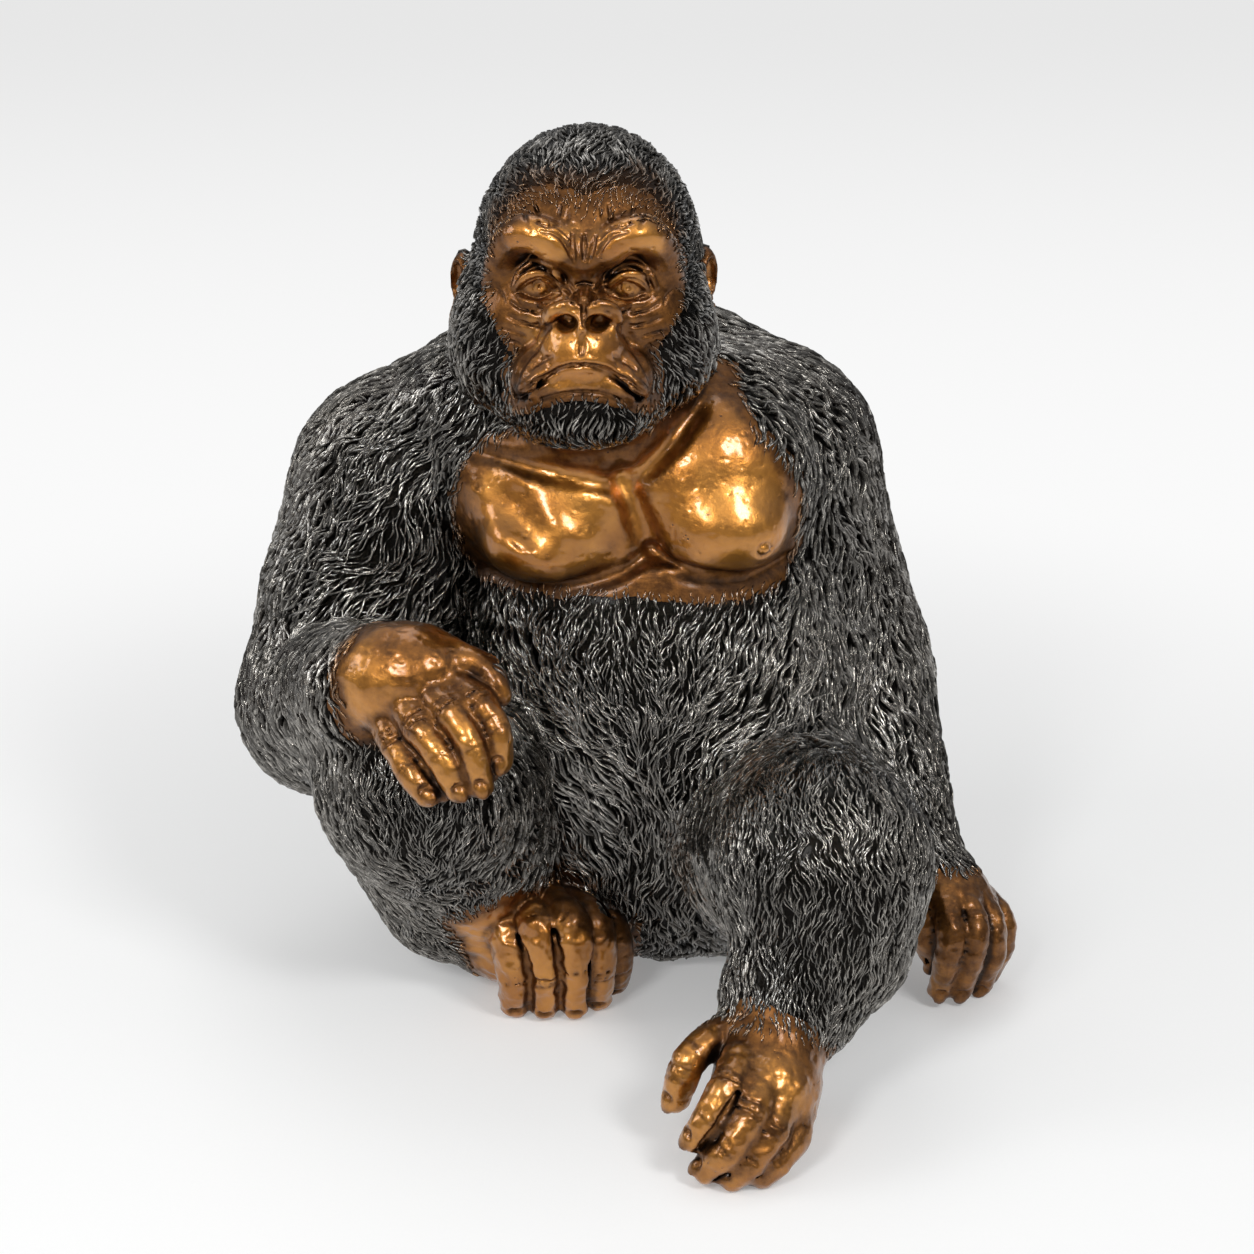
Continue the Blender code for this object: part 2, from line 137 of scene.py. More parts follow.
class Frame:
    """A place and a turn that shapes are given in."""

    def __init__(self, origin=(0.0, 0.0, 0.0), turn=None):
        self.origin = np.array(origin, float)
        self.axes = np.eye(3) if turn is None else turn

    def at(self, point):
        return self.origin + self.axes @ np.array(point, float)


WORLD = Frame()
HEAD = Frame(HEAD_AT, turned(pitch=HEAD_PITCH, roll=HEAD_ROLL))
RIGHT_PALM = Frame(RIGHT_WRIST[:3])
LEFT_PALM = Frame(LEFT_WRIST[:3])
RIGHT_SOLE = Frame(RIGHT_ANKLE[:3])
LEFT_SOLE = Frame(LEFT_ANKLE[:3])


class Blob:
    """Ellipsoid."""

    def __init__(self, at, radii, turn=None, frame=WORLD):
        self.centre = frame.at(at)
        self.radii = np.array(radii, float) * np.ones(3)
        self.axes = frame.axes if turn is None else frame.axes @ turn
        reach = np.sqrt(((self.axes * self.radii) ** 2).sum(1))
        self.low = self.centre - reach
        self.high = self.centre + reach

    def distance(self, x, y, z):
        x, y, z = x - self.centre[0], y - self.centre[1], z - self.centre[2]
        first = 0.0
        second = 1e-12
        for axis, radius in zip(self.axes.T, self.radii):
            along = axis[0] * x + axis[1] * y + axis[2] * z
            first = first + (along / radius) ** 2
            second = second + (along / radius**2) ** 2
        first = np.sqrt(first)
        return first * (first - 1.0) / np.sqrt(second)


class Limb:
    """Chain of tapered round lengths through points (x, y, z, radius)."""

    def __init__(self, points, frame=WORLD, spans=1, blend=0.0):
        points = np.array(points, float)
        if spans > 1:
            points = curved(points, spans)
        self.points = np.array([frame.at(point[:3]) for point in points])
        self.radii = points[:, 3]
        self.blend = blend
        reach = self.radii.max()
        self.low = self.points.min(0) - reach
        self.high = self.points.max(0) + reach

    def distance(self, x, y, z):
        nearest = None
        lengths = zip(self.points[:-1], self.points[1:], self.radii[:-1], self.radii[1:])
        for start, end, first, last in lengths:
            run = end - start
            dx, dy, dz = x - start[0], y - start[1], z - start[2]
            share = (dx * run[0] + dy * run[1] + dz * run[2]) / max(run @ run, 1e-9)
            share = np.clip(share, 0.0, 1.0)
            dx, dy, dz = dx - share * run[0], dy - share * run[1], dz - share * run[2]
            here = np.sqrt(dx * dx + dy * dy + dz * dz) - (first + share * (last - first))
            nearest = here if nearest is None else blended(nearest, here, self.blend)
        return nearest


def curved(points, spans):
    """Smooth curve through the points, each stretch cut into spans."""
    ends = np.vstack([2 * points[0] - points[1], points, 2 * points[-1] - points[-2]])
    found = []
    for before, start, end, after in zip(ends, ends[1:], ends[2:], ends[3:]):
        for t in np.arange(spans) / spans:
            slope = (end - before) * t
            bend = (2 * before - 5 * start + 4 * end - after) * t**2
            twist = (3 * start - before - 3 * end + after) * t**3
            found.append(0.5 * (2 * start + slope + bend + twist))
    found.append(points[-1])
    return np.array(found)


def blended(first, second, width):
    """Smaller of two distances, rounded over the width where they meet."""
    if width <= 0:
        return np.minimum(first, second)
    meet = np.maximum(width - np.abs(first - second), 0.0) / width
    return np.minimum(first, second) - meet * meet * (width / 4)


class Clay:
    """Distance field on a grid, negative inside the figure."""

    def __init__(self, low, high, step):
        self.step = step
        self.axes = [np.arange(low[i], high[i], step, np.float32) for i in range(3)]
        self.field = np.full([len(axis) for axis in self.axes], FAR, np.float32)

    def window(self, low, high):
        ends = zip(self.axes, low, high)
        return tuple(slice(*np.searchsorted(axis, pair)) for axis, *pair in ends)

    def points(self, window):
        x, y, z = [axis[part] for axis, part in zip(self.axes, window)]
        return x[:, None, None], y[None, :, None], z[None, None, :]

    def add(self, shape, blend=0.0, sign=1):
        pad = max(blend, 2 * self.step) + 2
        window = self.window(shape.low - pad, shape.high + pad)
        if self.field[window].size:
            found = shape.distance(*self.points(window))
            self.field[window] = sign * blended(sign * self.field[window], found, blend)

    def cut(self, shape, blend=0.0):
        self.add(shape, blend, -1)

    def join(self, shapes, blend):
        """Shapes modelled by themselves first, then blended on as one."""
        shapes = list(shapes)
        solid = [shape for kind, shape, _ in shapes if kind == "add"]
        low = np.min([shape.low for shape in solid], 0) - 8
        high = np.max([shape.high for shape in solid], 0) + 8
        window = self.window(low, high)
        if not self.field[window].size:
            return
        own = Clay(low, low, self.step)
        own.axes = [axis[part] for axis, part in zip(self.axes, window)]
        own.field = np.full([len(axis) for axis in own.axes], FAR, np.float32)
        for kind, shape, width in shapes:
            getattr(own, kind)(shape, width)
        self.field[window] = blended(self.field[window], own.field, blend)

    def flatten(self, height):
        """Takes off what lies under a level plane."""
        self.field = np.maximum(self.field, height - self.axes[2])

    def at(self, points):
        """Distance at free points, read between the grid's own."""
        low = np.array([axis[0] for axis in self.axes])
        place = (points - low) / self.step
        place = np.clip(place, 0, np.array(self.field.shape) - 1.001)
        cell = place.astype(int)
        return between(self.field, cell, (place - cell).astype(np.float32))

    def holds(self, line, frame):
        """Whether a line laid on the front of the skin lies within the grid."""
        x, _, z = np.array([frame.at((x, -45, z)) for x, z, _ in line]).T
        across, _, up = self.axes
        within = across[0] < x.min() and x.max() < across[-1]
        return within and up[0] < z.min() and z.max() < up[-1]

    def laid(self, line, frame=WORLD, above=0.0):
        """Limb along (x, z, radius) points, laid on the front of the skin."""
        depth = np.arange(-125, 0, 0.5)
        found = []
        for x, z, radius in line:
            ray = np.stack([np.full(len(depth), x), depth, np.full(len(depth), z)], 1)
            inside = self.at(frame.origin + ray @ frame.axes.T) < 0
            found.append((x, depth[np.argmax(inside)] - above, z, radius))
        return Limb(found, frame, 3)

    def crease(self, line, blend, frame=WORLD):
        if self.holds(line, frame):
            self.cut(self.laid(line, frame), blend)

    def fold(self, line, blend, frame=WORLD, above=-0.8):
        if self.holds(line, frame):
            self.add(self.laid(line, frame, above), blend)

    def skin(self):
        """Points and four-sided faces of the surface, faces outward."""
        grid = openvdb.FloatGrid(FAR)
        grid.copyFromArray(np.clip(self.field, -FAR, FAR))
        points, triangles, quads = grid.convertToPolygons(0.0, 0.0)
        low = np.array([axis[0] for axis in self.axes], float)
        points = np.asarray(points, float) * self.step + low
        return points, np.asarray(quads).tolist() + np.asarray(triangles).tolist()


def add(shape, blend=0.0):
    return ("add", shape, blend)


def cut(shape, blend=0.0):
    return ("cut", shape, blend)


def on_head(side, points, spans=1, blend=0.0):
    """Limb in the head's frame; side -1 mirrors it to the right of the head."""
    points = [(side * x, y, z, radius) for x, y, z, radius in points]
    return Limb(points, HEAD, spans, blend)


def head_blob(side, at, radii, pitch=0.0, yaw=0.0, roll=0.0):
    at = (side * at[0], at[1], at[2])
    return Blob(at, radii, turned(pitch, side * yaw, side * roll), HEAD)


def skull():
    yield add(Blob((1.5, 6, 12), (44.5, 50, 50.5), frame=HEAD))
    yield add(Blob((0, -17, 17), (37, 29, 32), frame=HEAD), 8)
    yield add(Blob((0, -1, -20), (48, 43, 40), frame=HEAD), 8)
    for side in SIDES:
        yield add(head_blob(side, (37, -1, -17), (15, 32, 28)), 10)
        yield add(head_blob(side, (22, -25, -6), (18, 15, 16)), 10)
    yield add(Blob((0, -24, -38), (31, 26, 22), frame=HEAD), 10)


def brow_and_eyes():
    ridge = [(0, -41, 17.5, 6.5), (8, -43.5, 21, 7), (17, -45, 27, 7), (25, -41.5, 26.5, 7)]
    ridge += [(31, -34, 18, 6), (34, -27, 6, 5)]
    upper = [(8.5, -37, 3, 1.5), (12, -40, 9, 2), (16.8, -41.3, 11.4, 2.1)]
    upper += [(21.5, -40, 9.5, 2), (26.5, -35, 3.6, 1.6)]
    lower = [(8.5, -37, 3, 1.4), (12.5, -39.8, 1, 1.6), (17, -40.7, 0, 1.7)]
    lower += [(22, -39.4, 1.1, 1.6), (26.5, -35, 3.6, 1.5)]
    bag = [(8, -40, -1.5, 1.6), (13, -41.3, -4.4, 1.8), (19, -40.8, -5.2, 1.9)]
    bag += [(25.5, -36.8, -2.8, 1.8), (30, -32, 2.5, 1.5)]
    for side in SIDES:
        yield cut(head_blob(side, (18.5, -48, 11.5), (14, 13, 13)), 4)
    for side in SIDES:
        yield add(on_head(side, ridge, 3, 1), 4)
    for side in SIDES:
        yield add(head_blob(side, (16.8, -31, 6.4), 9.6), 0.4)
        for line, blend in ((upper, 1.2), (lower, 1.2), (bag, 2.5)):
            yield add(on_head(side, line, 3), blend)


def muzzle():
    bridge = [(0, -39, 18, 6), (0.5, -40, 9, 4.2), (1, -44.5, 4, 4.8), (0.5, -50, 0, 6)]
    yield add(Limb(bridge, HEAD, 2), 4)
    for side in SIDES:
        yield add(head_blob(side, (26, -26, -9), (10, 12, 10)), 6)
    yield add(Blob((0, -42, -17), (18, 21, 17), frame=HEAD), 3)
    for side in SIDES:
        yield add(head_blob(side, (14, -41, -28), (13.5, 18, 13), yaw=10), 3)
    lip = [(-20, -43, -36, 6), (-10, -51, -32, 6.5), (0, -54, -29, 7), (10, -51, -32, 6.5)]
    yield add(Limb(lip + [(20, -43, -36, 6)], HEAD, 3), 3)
    yield add(Blob((0, -38, -41), (25, 16, 13), frame=HEAD), 7)
    half = [(22.5, -51.5, -33, 1.2), (14.8, -57.5, -27, 1.0), (8, -61.5, -22, 0.9)]
    mouth = [(-x, y, z, radius) for x, y, z, radius in half]
    mouth += [(0, -63.5, -20, 0.9)] + half[::-1]
    for depth in (-2.5, 0, 2.5):
        line = [(x, y + depth, z, radius) for x, y, z, radius in mouth]
        yield cut(Limb(line, HEAD, 3), 1.5)
    for side in SIDES:
        yield cut(head_blob(side, (22.5, -52, -33), (1.7, 4, 2.4)), 2)


def nose():
    wing = [(1.5, -57, -1.4, 2.8), (6, -56.5, 0.8, 3), (10.5, -53.5, -0.4, 3.2)]
    wing += [(12.6, -50.5, -5, 3.2), (9.5, -53, -9.5, 2.6)]
    for side in SIDES:
        yield add(on_head(side, wing, 3), 2.5)
    yield add(Blob((0, -56, -7), (2.8, 6, 7), frame=HEAD), 2)
    for side in SIDES:
        yield cut(head_blob(side, (6.2, -60, -4.4), (4.6, 8, 3.4), roll=14), 1)


def ears():
    for side in SIDES:
        height = 3.5 + 1.5 * side
        yield add(head_blob(side, (48, 5, height), (5, 7.5, 11), yaw=20), 1)
        yield cut(head_blob(side, (51, 0.5, height), (3.2, 4.5, 7.5), yaw=20), 1)


# Fingers and toes, root to tip, in the frame of each hand or foot
RIGHT_FINGERS = [
    [(34, -20, 11), (46, -32, 9), (54, -39, 0), (55, -42, -12)],
    [(25, -22, 9), (36, -36, 6), (44, -45, -4), (48, -48, -19)],
    [(16, -22, 6), (24, -36, 0), (33, -46, -9), (39, -48, -21)],
    [(7, -18, 0), (14, -30, -8), (20, -41, -16), (27, -46, -24)],
]
LEFT_FINGERS = [
    [(7, -16, -2), (5, -24, -9), (5, -27, -18), (7, -23, -27)],
    [(12, -20, -1), (14, -33, -8), (14, -38, -19), (11, -33, -40)],
    [(20, -19, -2), (24, -31, -9), (24, -36, -20), (20, -31, -41)],
    [(27, -14, -6), (32, -23, -13), (33, -28, -25), (29, -23, -43)],
    [(32, -4, -13), (38, -11, -19), (38, -14, -30), (34, -11, -45)],
]
RIGHT_TOES = [
    [(1, -24, 12), (5.5, -36, 10), (8, -40, -6), (7.5, -37, -20)],
    [(12, -27, 18), (17.5, -40, 16), (20.5, -43, -1), (20, -39, -20)],
    [(24, -25, 20), (30.5, -39, 17), (33, -42, -1), (32.5, -38, -20)],
    [(34, -20, 16), (40, -32, 13), (42.5, -35, -4), (42, -31, -20)],
    [(42, -10, 10), (47, -22, 4), (49.5, -24, -8), (49, -20, -19)],
]
LEFT_TOES = [
    [(-17, 0, 6), (-29, -12, 3), (-34, -16, -5), (-36, -16, -14)],
    [(-12, -18, 4), (-17, -32, 0), (-24, -39, -8), (-29, -39, -17)],
    [(-5, -24, -1), (-9, -38, -8), (-17, -45, -20), (-25, -42, -29)],
    [(3, -23, -7), (-1, -37, -15), (-8, -44, -24), (-15, -44, -31)],
    [(9, -16, -14), (8, -29, -22), (1, -39, -27), (-4, -42, -31)],
]


def between_two(first, second):
    """Line midway between two digits."""
    return (np.array(first) + np.array(second)) / 2


def digits(frame, lines, radii, sink):
    """Fingers or toes along lines, with flesh sunk between each two."""
    webs = [between_two(*pair) + sink for pair in zip(lines, lines[1:])]
    for row, sizes, blend in ((lines, radii, 3), (webs, WEB_RADII, 2)):
        for line in row:
            points = [(*point, radius) for point, radius in zip(line, sizes)]
            yield add(Limb(points, frame, 3), blend)


def right_hand():
    palm = [(-4, 0, 2, 20), (10, -8, 9, 20), (20, -11, 12, 19)]
    thumb = [(36, -13, 20, 7), (47, -19, 19, 5.6), (53, -24, 14, 5), (55, -26, 9, 4.6)]
    yield add(Limb(palm, RIGHT_PALM, blend=8))
    yield add(Blob((24, -12, 11), (24, 18, 18), turned(roll=14), RIGHT_PALM), 8)
    yield from digits(RIGHT_PALM, RIGHT_FINGERS, FINGER_RADII, (0, 3.4, -2.2))
    yield add(Limb(thumb, RIGHT_PALM, 3), 3)


def left_hand():
    palm = [(1, 0, -1, 20), (13, -10, -9, 19)]
    yield add(Limb(palm, LEFT_PALM, blend=4))
    yield add(Blob((15, -12, -14), (20, 17, 18), frame=LEFT_PALM), 6)
    yield from digits(LEFT_PALM, LEFT_FINGERS, FINGER_RADII, (-1, 3.6, -1))


def right_foot():
    yield add(Blob((18, -8, -2), (34, 28, 24), turned(yaw=8), RIGHT_SOLE))
    yield add(Blob((-4, 0, -1), (22, 22, 19), frame=RIGHT_SOLE), 8)
    yield add(Blob((22, -31, 9), (22, 8, 10), frame=RIGHT_SOLE), 6)
    yield from digits(RIGHT_SOLE, RIGHT_TOES, TOE_RADII, (0, 4, -1))


def left_foot():
    heel = [(2, 6, 1, 21), (-2, -14, -12, 19)]
    yield add(Limb(heel, LEFT_SOLE, blend=4))
    yield add(Blob((-1, -10, -10), (20, 26, 20), frame=LEFT_SOLE), 6)
    yield from digits(LEFT_SOLE, LEFT_TOES[1:], TOE_RADII, (1.5, 2.5, -3))
    yield from digits(LEFT_SOLE, LEFT_TOES[:1], TOE_RADII, (0, 0, 0))


def breast(clay):
    """Breast muscles, with the folds round them."""
    for at, radii, turn, blend in (
        ((-10, -50, 240), (30, 24, 20), turned(pitch=-20), 8),
        ((-33, -47, 212), (41, 26, 34), turned(pitch=-10, yaw=-16), 10),
        ((38, -46, 216), (38, 26, 37), turned(pitch=-10, yaw=16), 10),
        ((-34, -66, 198), (24, 18, 17), None, 9),
        ((40, -63, 202), (24, 18, 18), None, 9),
    ):
        clay.add(Blob(at, radii, turn), blend)
    collar = [(-60, 231, 1), (-36, 229, 2), (-18, 226, 2.2), (-2, 223, 2.4)]
    clay.crease(collar + [(9, 230, 2.2), (19, 240, 2), (27, 248, 1)], 7)
    clay.crease([(-2, 224, 1.6), (5, 208, 2.6), (10, 194, 2.2)], 8)
    clay.crease([(-58, 180, 1), (-40, 179, 2), (-20, 182, 2.2), (-2, 187, 2), (10, 194, 1.6)], 5)
    clay.crease([(66, 186, 1), (52, 183, 2), (38, 185, 2.2), (22, 188, 2), (10, 194, 1.6)], 5)


def limb(clay, first, last, blend, *between):
    """Length of arm or leg from one landmark to another."""
    clay.add(Limb([first, *between, last]), blend)


def figure(low, high, step, finer=None):
    clay = Clay(low, high, step)
    # Trunk
    for at, radii, blend in (
        ((12, 0, 50), (90, 84, 62), 0),
        ((16, -18, 108), (88, 76, 80), 25),
        ((8, -28, 150), (72, 54, 50), 20),
        ((4, 0, 196), (86, 64, 58), 30),
        ((-6, 28, 222), (80, 54, 50), 25),
        ((4, 25, 134), (80, 62, 80), 25),
    ):
        clay.add(Blob(at, radii), blend)
    # Shoulders and nape
    limb(clay, (-34, 4, 240, 32), RIGHT_SHOULDER, 25)
    limb(clay, (8, 10, 226, 30), LEFT_SHOULDER, 18)
    limb(clay, (-19, -8, 286, 36), (-10, 30, 230, 48), 16, NAPE)
    limb(clay, (-12, -34, 250, 20), (-62, -18, 236, 26), 16)
    limb(clay, (8, -34, 250, 20), (46, -14, 236, 24), 14)
    breast(clay)
    # Arms
    limb(clay, RIGHT_SHOULDER, RIGHT_ELBOW, 12, (-110, -12, 152, 44))
    limb(clay, RIGHT_ELBOW, RIGHT_WRIST, 8)
    limb(clay, LEFT_SHOULDER, LEFT_ELBOW, 12)
    limb(clay, LEFT_ELBOW, LEFT_WRIST, 8)
    # Legs
    limb(clay, RIGHT_HIP, RIGHT_KNEE, 18)
    limb(clay, RIGHT_KNEE, RIGHT_ANKLE, 10, (-84, -62, 76, 38), (-72, -60, 42, 34))
    limb(clay, RIGHT_KNEE, (-56, -70, 42, 30), 8)
    limb(clay, LEFT_HIP, LEFT_KNEE, 18)
    limb(clay, LEFT_KNEE, LEFT_ANKLE, 8, (76, -158, 68, 35), (64, -172, 48, 27))
    clay.join([*skull(), *brow_and_eyes(), *muzzle(), *nose(), *ears()], 6)
    for part, blend in ((right_hand, 3), (left_hand, 3), (right_foot, 4), (left_foot, 3)):
        clay.join(part(), blend)
    if finer:
        finer(clay)
    clay.flatten(GROUND)
    return clay


# Smooth noise and soft steps

LATTICE = np.random.default_rng(NOISE_SEED).uniform(-1, 1, (48, 48, 48)).astype(np.float32)


def between(field, cell, part):
    """Values of a field at part of the way across each cell."""
    found = 0.0
    for corner in range(8):
        step = np.array([corner & 1, corner >> 1 & 1, corner >> 2])
        share = np.prod(np.where(step, part, 1 - part), axis=1)
        x, y, z = ((cell + step) % field.shape).T
        found = found + share * field[x, y, z]
    return found


def noise(points, scale, shift=0.0):
    """Smooth noise from -1 to 1 that changes over scale."""
    place = points / scale + shift
    cell = np.floor(place).astype(int)
    part = place - cell
    return between(LATTICE, cell, part * part * (3 - 2 * part))


def rise(value, low, high):
    share = np.clip((value - low) / (high - low), 0, 1)
    return share * share * (3 - 2 * share)


def slope_at(clay, points, reach):
    """Outward direction at free points."""
    found = np.empty_like(points)
    for axis in range(3):
        step = np.zeros(3)
        step[axis] = reach
        found[:, axis] = clay.at(points + step) - clay.at(points - step)
    return found / np.maximum(np.linalg.norm(found, axis=1), 1e-6)[:, None]


def group_at(shapes, points):
    """Distance to shapes modelled by themselves, at free points."""
    found = np.full(len(points), FAR)
    for kind, shape, width in shapes:
        sign = 1 if kind == "add" else -1
        found = sign * blended(sign * found, shape.distance(*points.T), width)
    return found


def in_head(points):
    """Free points in the head's frame."""
    return (points - HEAD.origin) @ HEAD.axes


# Finer carving than the solid has

# Folds and creases round an eye whose middle is at x = 16.8
EYE_MIDDLE = 16.8
HOOD = [(27.4, 8, 0.9), (25, 13, 1.5), (20.5, 16.6, 1.7), (15.5, 17, 1.7), (11, 14.6, 1.5)]
LID = [(27.2, 4.2, 0.8), (24.6, 8.8, 1.2), (20.4, 11.8, 1.4), (15.8, 12.2, 1.4), (11.4, 9.8, 1.2)]
UNDER = [(26.4, 3.4, 0.7), (22.4, 0.6, 1.0), (17.6, -0.2, 1.1), (12.6, 0.8, 1.0), (8.4, 3.4, 0.7)]
OVER = [(27.6, 6.2, 0.8), (25.2, 11.2, 1.3), (20.6, 14.6, 1.6), (15.6, 15.0, 1.6), (11, 12.6, 1.3)]
EYE_FOLDS = (  # line, blend, height above the skin
    (HOOD + [(7.6, 10, 0.9)], 1.0, -0.9),
    (LID + [(8, 5.4, 0.8)], 0.8, -0.4),
    (UNDER, 0.8, -0.4),
    (OVER + [(7.6, 7.8, 0.8)], 1.0, 0.6),
)
LASH = [(25.8, 3.8, 0.25), (23.4, 7.4, 0.4), (20, 9.8, 0.45), (16, 10.2, 0.45), (12.4, 8.2, 0.4)]
RIM = [(25, 3, 0.25), (22, 2.2, 0.35), (17.5, 1.7, 0.4), (13, 2.4, 0.35), (9.6, 3.8, 0.25)]
BAG = [(28.5, 0.5, 0.25), (24.5, -1.8, 0.4), (18.6, -3.2, 0.45), (13, -2.4, 0.4), (7.6, 1, 0.25)]
SACK = [(29, -5, 0.2), (24.5, -7.0, 0.35), (18, -8.0, 0.4), (13, -7, 0.2)]
EYE_CREASES = ((LASH + [(9, 4, 0.25)], 0.4), (RIM, 0.4), (BAG, 0.9), (SACK, 1.4))  # line, blend


def beside(side, middle, line, start=0.0):
    """Line laid to one side of a middle; its own x counts from start."""
    return [(middle + side * (x - start), z, radius) for x, z, radius in line]


def face_carving(clay):
    def crease(line, blend=1.2):
        clay.crease(line, blend, HEAD)

    def both(line, blend=1.2):
        crease(line, blend)
        crease([(1.5 - x, z, radius) for x, z, radius in line], blend)

    def fold(line, blend, above):
        clay.fold(line, blend, HEAD, above)

    def whole(half, middle):
        """Line from one corner of the mouth to the other."""
        return half + [middle] + beside(-1, 0.6, half[::-1], 0.6)

    # Between and over the brows
    crease([(-3.9, 27.6, 0.5), (-3.6, 22.7, 1.1), (-3, 17.5, 0.5)])
    crease([(0.6, 27, 0.5), (0.7, 23, 1.0), (0.7, 18.6, 0.4)])
    crease([(4.8, 27, 0.5), (3.9, 22.8, 1.1), (2.5, 18, 0.5)])
    both([(-15.5, 29.6, 0.4), (-9.8, 28.1, 0.8), (-6.4, 24.5, 1.0), (-4.6, 20.5, 0.5)])
    both([(-12, 31.6, 0.4), (-7.7, 29.2, 0.7), (-5.2, 26.4, 0.4)], 1.0)
    both([(-17.5, 32.4, 0.3), (-13, 30.9, 0.6), (-9, 30.9, 0.3)], 1.0)
    for x, z, lean in ((-20, 31, -1.5), (-16.5, 32.5, -1), (-9.5, 32.5, 0.6), (8, 31.5, -0.6)):
        both([(x, z, 0.3), (x + lean, z + 2.6, 0.6), (x + 2 * lean, z + 5.2, 0.3)], 1.0)
    # Lids, the folds over and under each eye, and the ring and pupil in it
    for side, middle in ((-1, -16), (1, 17.6)):
        for line, blend, above in EYE_FOLDS:
            fold(beside(side, middle, line, EYE_MIDDLE), blend, above)
        for line, blend in EYE_CREASES:
            crease(beside(side, middle, line, EYE_MIDDLE), blend)
        turns = np.radians(np.arange(0, 361, 40))
        for reach, radius in ((3.0, 0.16), (0.4, 0.55)):
            ring = [(reach * np.cos(t), 6.6 + reach * np.sin(t), radius) for t in turns]
            crease(beside(1, middle, ring), 0.5)
    # Rims and holes of the nose, and the wrinkles on its bridge
    rim = [(13.4, -3.5, 1.6), (12, 0, 1.9), (9, 2.2, 2.0), (5.4, 3.0, 1.9), (2, 1.6, 1.6)]
    for side in (-1, 1):
        fold(beside(side, 0.9, rim), 1.2, -0.7)
        crease(beside(side, 0.9, [(8.6, -3.4, 1.5), (6.2, -4.0, 2.6), (4.0, -5.2, 1.7)]), 0.8)
    crease([(0.8, 3.6, 0.5), (0.8, 0, 0.9), (0.7, -4.5, 0.5)])
    for side in (-1, 1):
        crease(beside(side, 0.8, [(2.8, 8.4, 0.3), (3.3, 5.2, 0.7), (1.6, 2.8, 0.3)]), 1.0)
        crease(beside(side, 0.8, [(8, 9.2, 0.3), (5.2, 8, 0.6), (3.6, 6, 0.3)]), 1.0)
        crease(beside(side, 0.8, [(8.6, 6.4, 0.3), (6, 5.4, 0.6), (4.4, 3.4, 0.3)]), 1.0)
    crease([(-2, 8.6, 0.3), (0.8, 9.3, 0.6), (3.6, 8.6, 0.3)], 1.0)
    # Muzzle, lips and the corners of the mouth
    crease([(0.3, -8, 0.4), (0.3, -12, 0.9), (0.1, -16, 0.5)], 2)
    cheek = [(-12.6, -7, 0.8), (-16.2, -12.3, 1.3), (-19.6, -17.6, 1.5), (-23.4, -22.5, 1.4)]
    both(cheek + [(-25.4, -28.6, 1.2), (-25.6, -36, 0.7)], 3)
    both([(-21.8, -27, 0.4), (-24, -30.5, 0.7), (-24.4, -35.5, 0.4)], 1.2)
    both([(-20.6, -31.4, 0.5), (-19.4, -35, 0.3)], 1.0)
    both([(-19, -22.5, 0.3), (-15, -19.5, 0.5), (-11, -17, 0.3)], 1.6)
    lip = [(-23.6, -30.6, 1.4), (-20, -27.6, 1.7), (-16.5, -24.6, 1.7), (-12, -22.4, 1.6)]
    fold(whole(lip + [(-6.4, -18.8, 1.6)], (0.6, -17.4, 1.5)), 1.0, -0.8)
    low = [(-21.6, -33.4, 1.2), (-18, -30, 1.6), (-12, -26.4, 1.5), (-6.4, -22.6, 1.5)]
    fold(whole(low, (0.6, -21.2, 1.5)), 1.0, -0.8)
    for side in (-1, 1):
        corner = [(24.2, -33, 1.3), (22.6, -30.8, 1.9), (19, -28.4, 1.5)]
        fold(beside(side, 0.6, corner), 1.5, 0.5)
    part = [(-23.2, -31.4, 0.3), (-20.4, -29, 0.6), (-16.9, -26, 0.7), (-12.4, -24.1, 0.7)]
    crease(whole(part + [(-6.4, -20.3, 0.7)], (0.6, -19, 0.7)), 0.7)
    chin = [(-15, -34, 0.4), (-7, -31.4, 0.7), (0, -30.4, 0.8), (8, -31.2, 0.7), (15, -34, 0.4)]
    crease(chin, 1.5)
    # Cheeks
    both([(-31, -9.8, 0.1), (-26.1, -11.0, 0.3), (-21.8, -12.4, 0.1)], 1.2)
    both([(-31.2, -14.6, 0.1), (-27.3, -14.8, 0.35), (-23, -16.4, 0.1)], 1.2)
    both([(-33, 5, 0.1), (-30.6, 2.6, 0.3), (-29.8, 0, 0.1)], 1.0)


def chest_carving(clay):
    hollow = clay.laid([(-58, 226, 7), (-44, 214, 9), (-30, 204, 9), (-18, 198, 6)], WORLD, 8.5)
    clay.cut(hollow, 5)
    clay.fold([(-8, 233, 3), (-5, 236, 4.5), (0, 234, 3)], 5, above=-2.6)
    clay.fold([(16, 186.5, 1), (30, 185.5, 2.2), (46, 184.5, 1.2)], 4, above=-1.7)
    clay.crease([(-46, 203, 0.1), (-41, 199.5, 0.2), (-36, 197.5, 0.1)], 1.0)
    clay.fold([(-39.5, 198.5, 1.0), (-37.5, 198.5, 1.0)], 1.2, above=-0.2)
    clay.fold([(54.5, 197.5, 1.2), (56, 197.5, 1.2)], 1.2, above=-0.1)
    ring = [(55.2 + 3 * np.cos(t), 197.5 + 3 * np.sin(t), 0.5) for t in np.arange(0, 6.4, 0.8)]
    clay.crease(ring, 1)


def digit_axes(along, outward):
    """Directions along a digit, up from its back and across it."""
    along = along / np.linalg.norm(along)
    up = outward - (outward @ along) * along
    up /= np.linalg.norm(up)
    return along, up, np.cross(along, up)


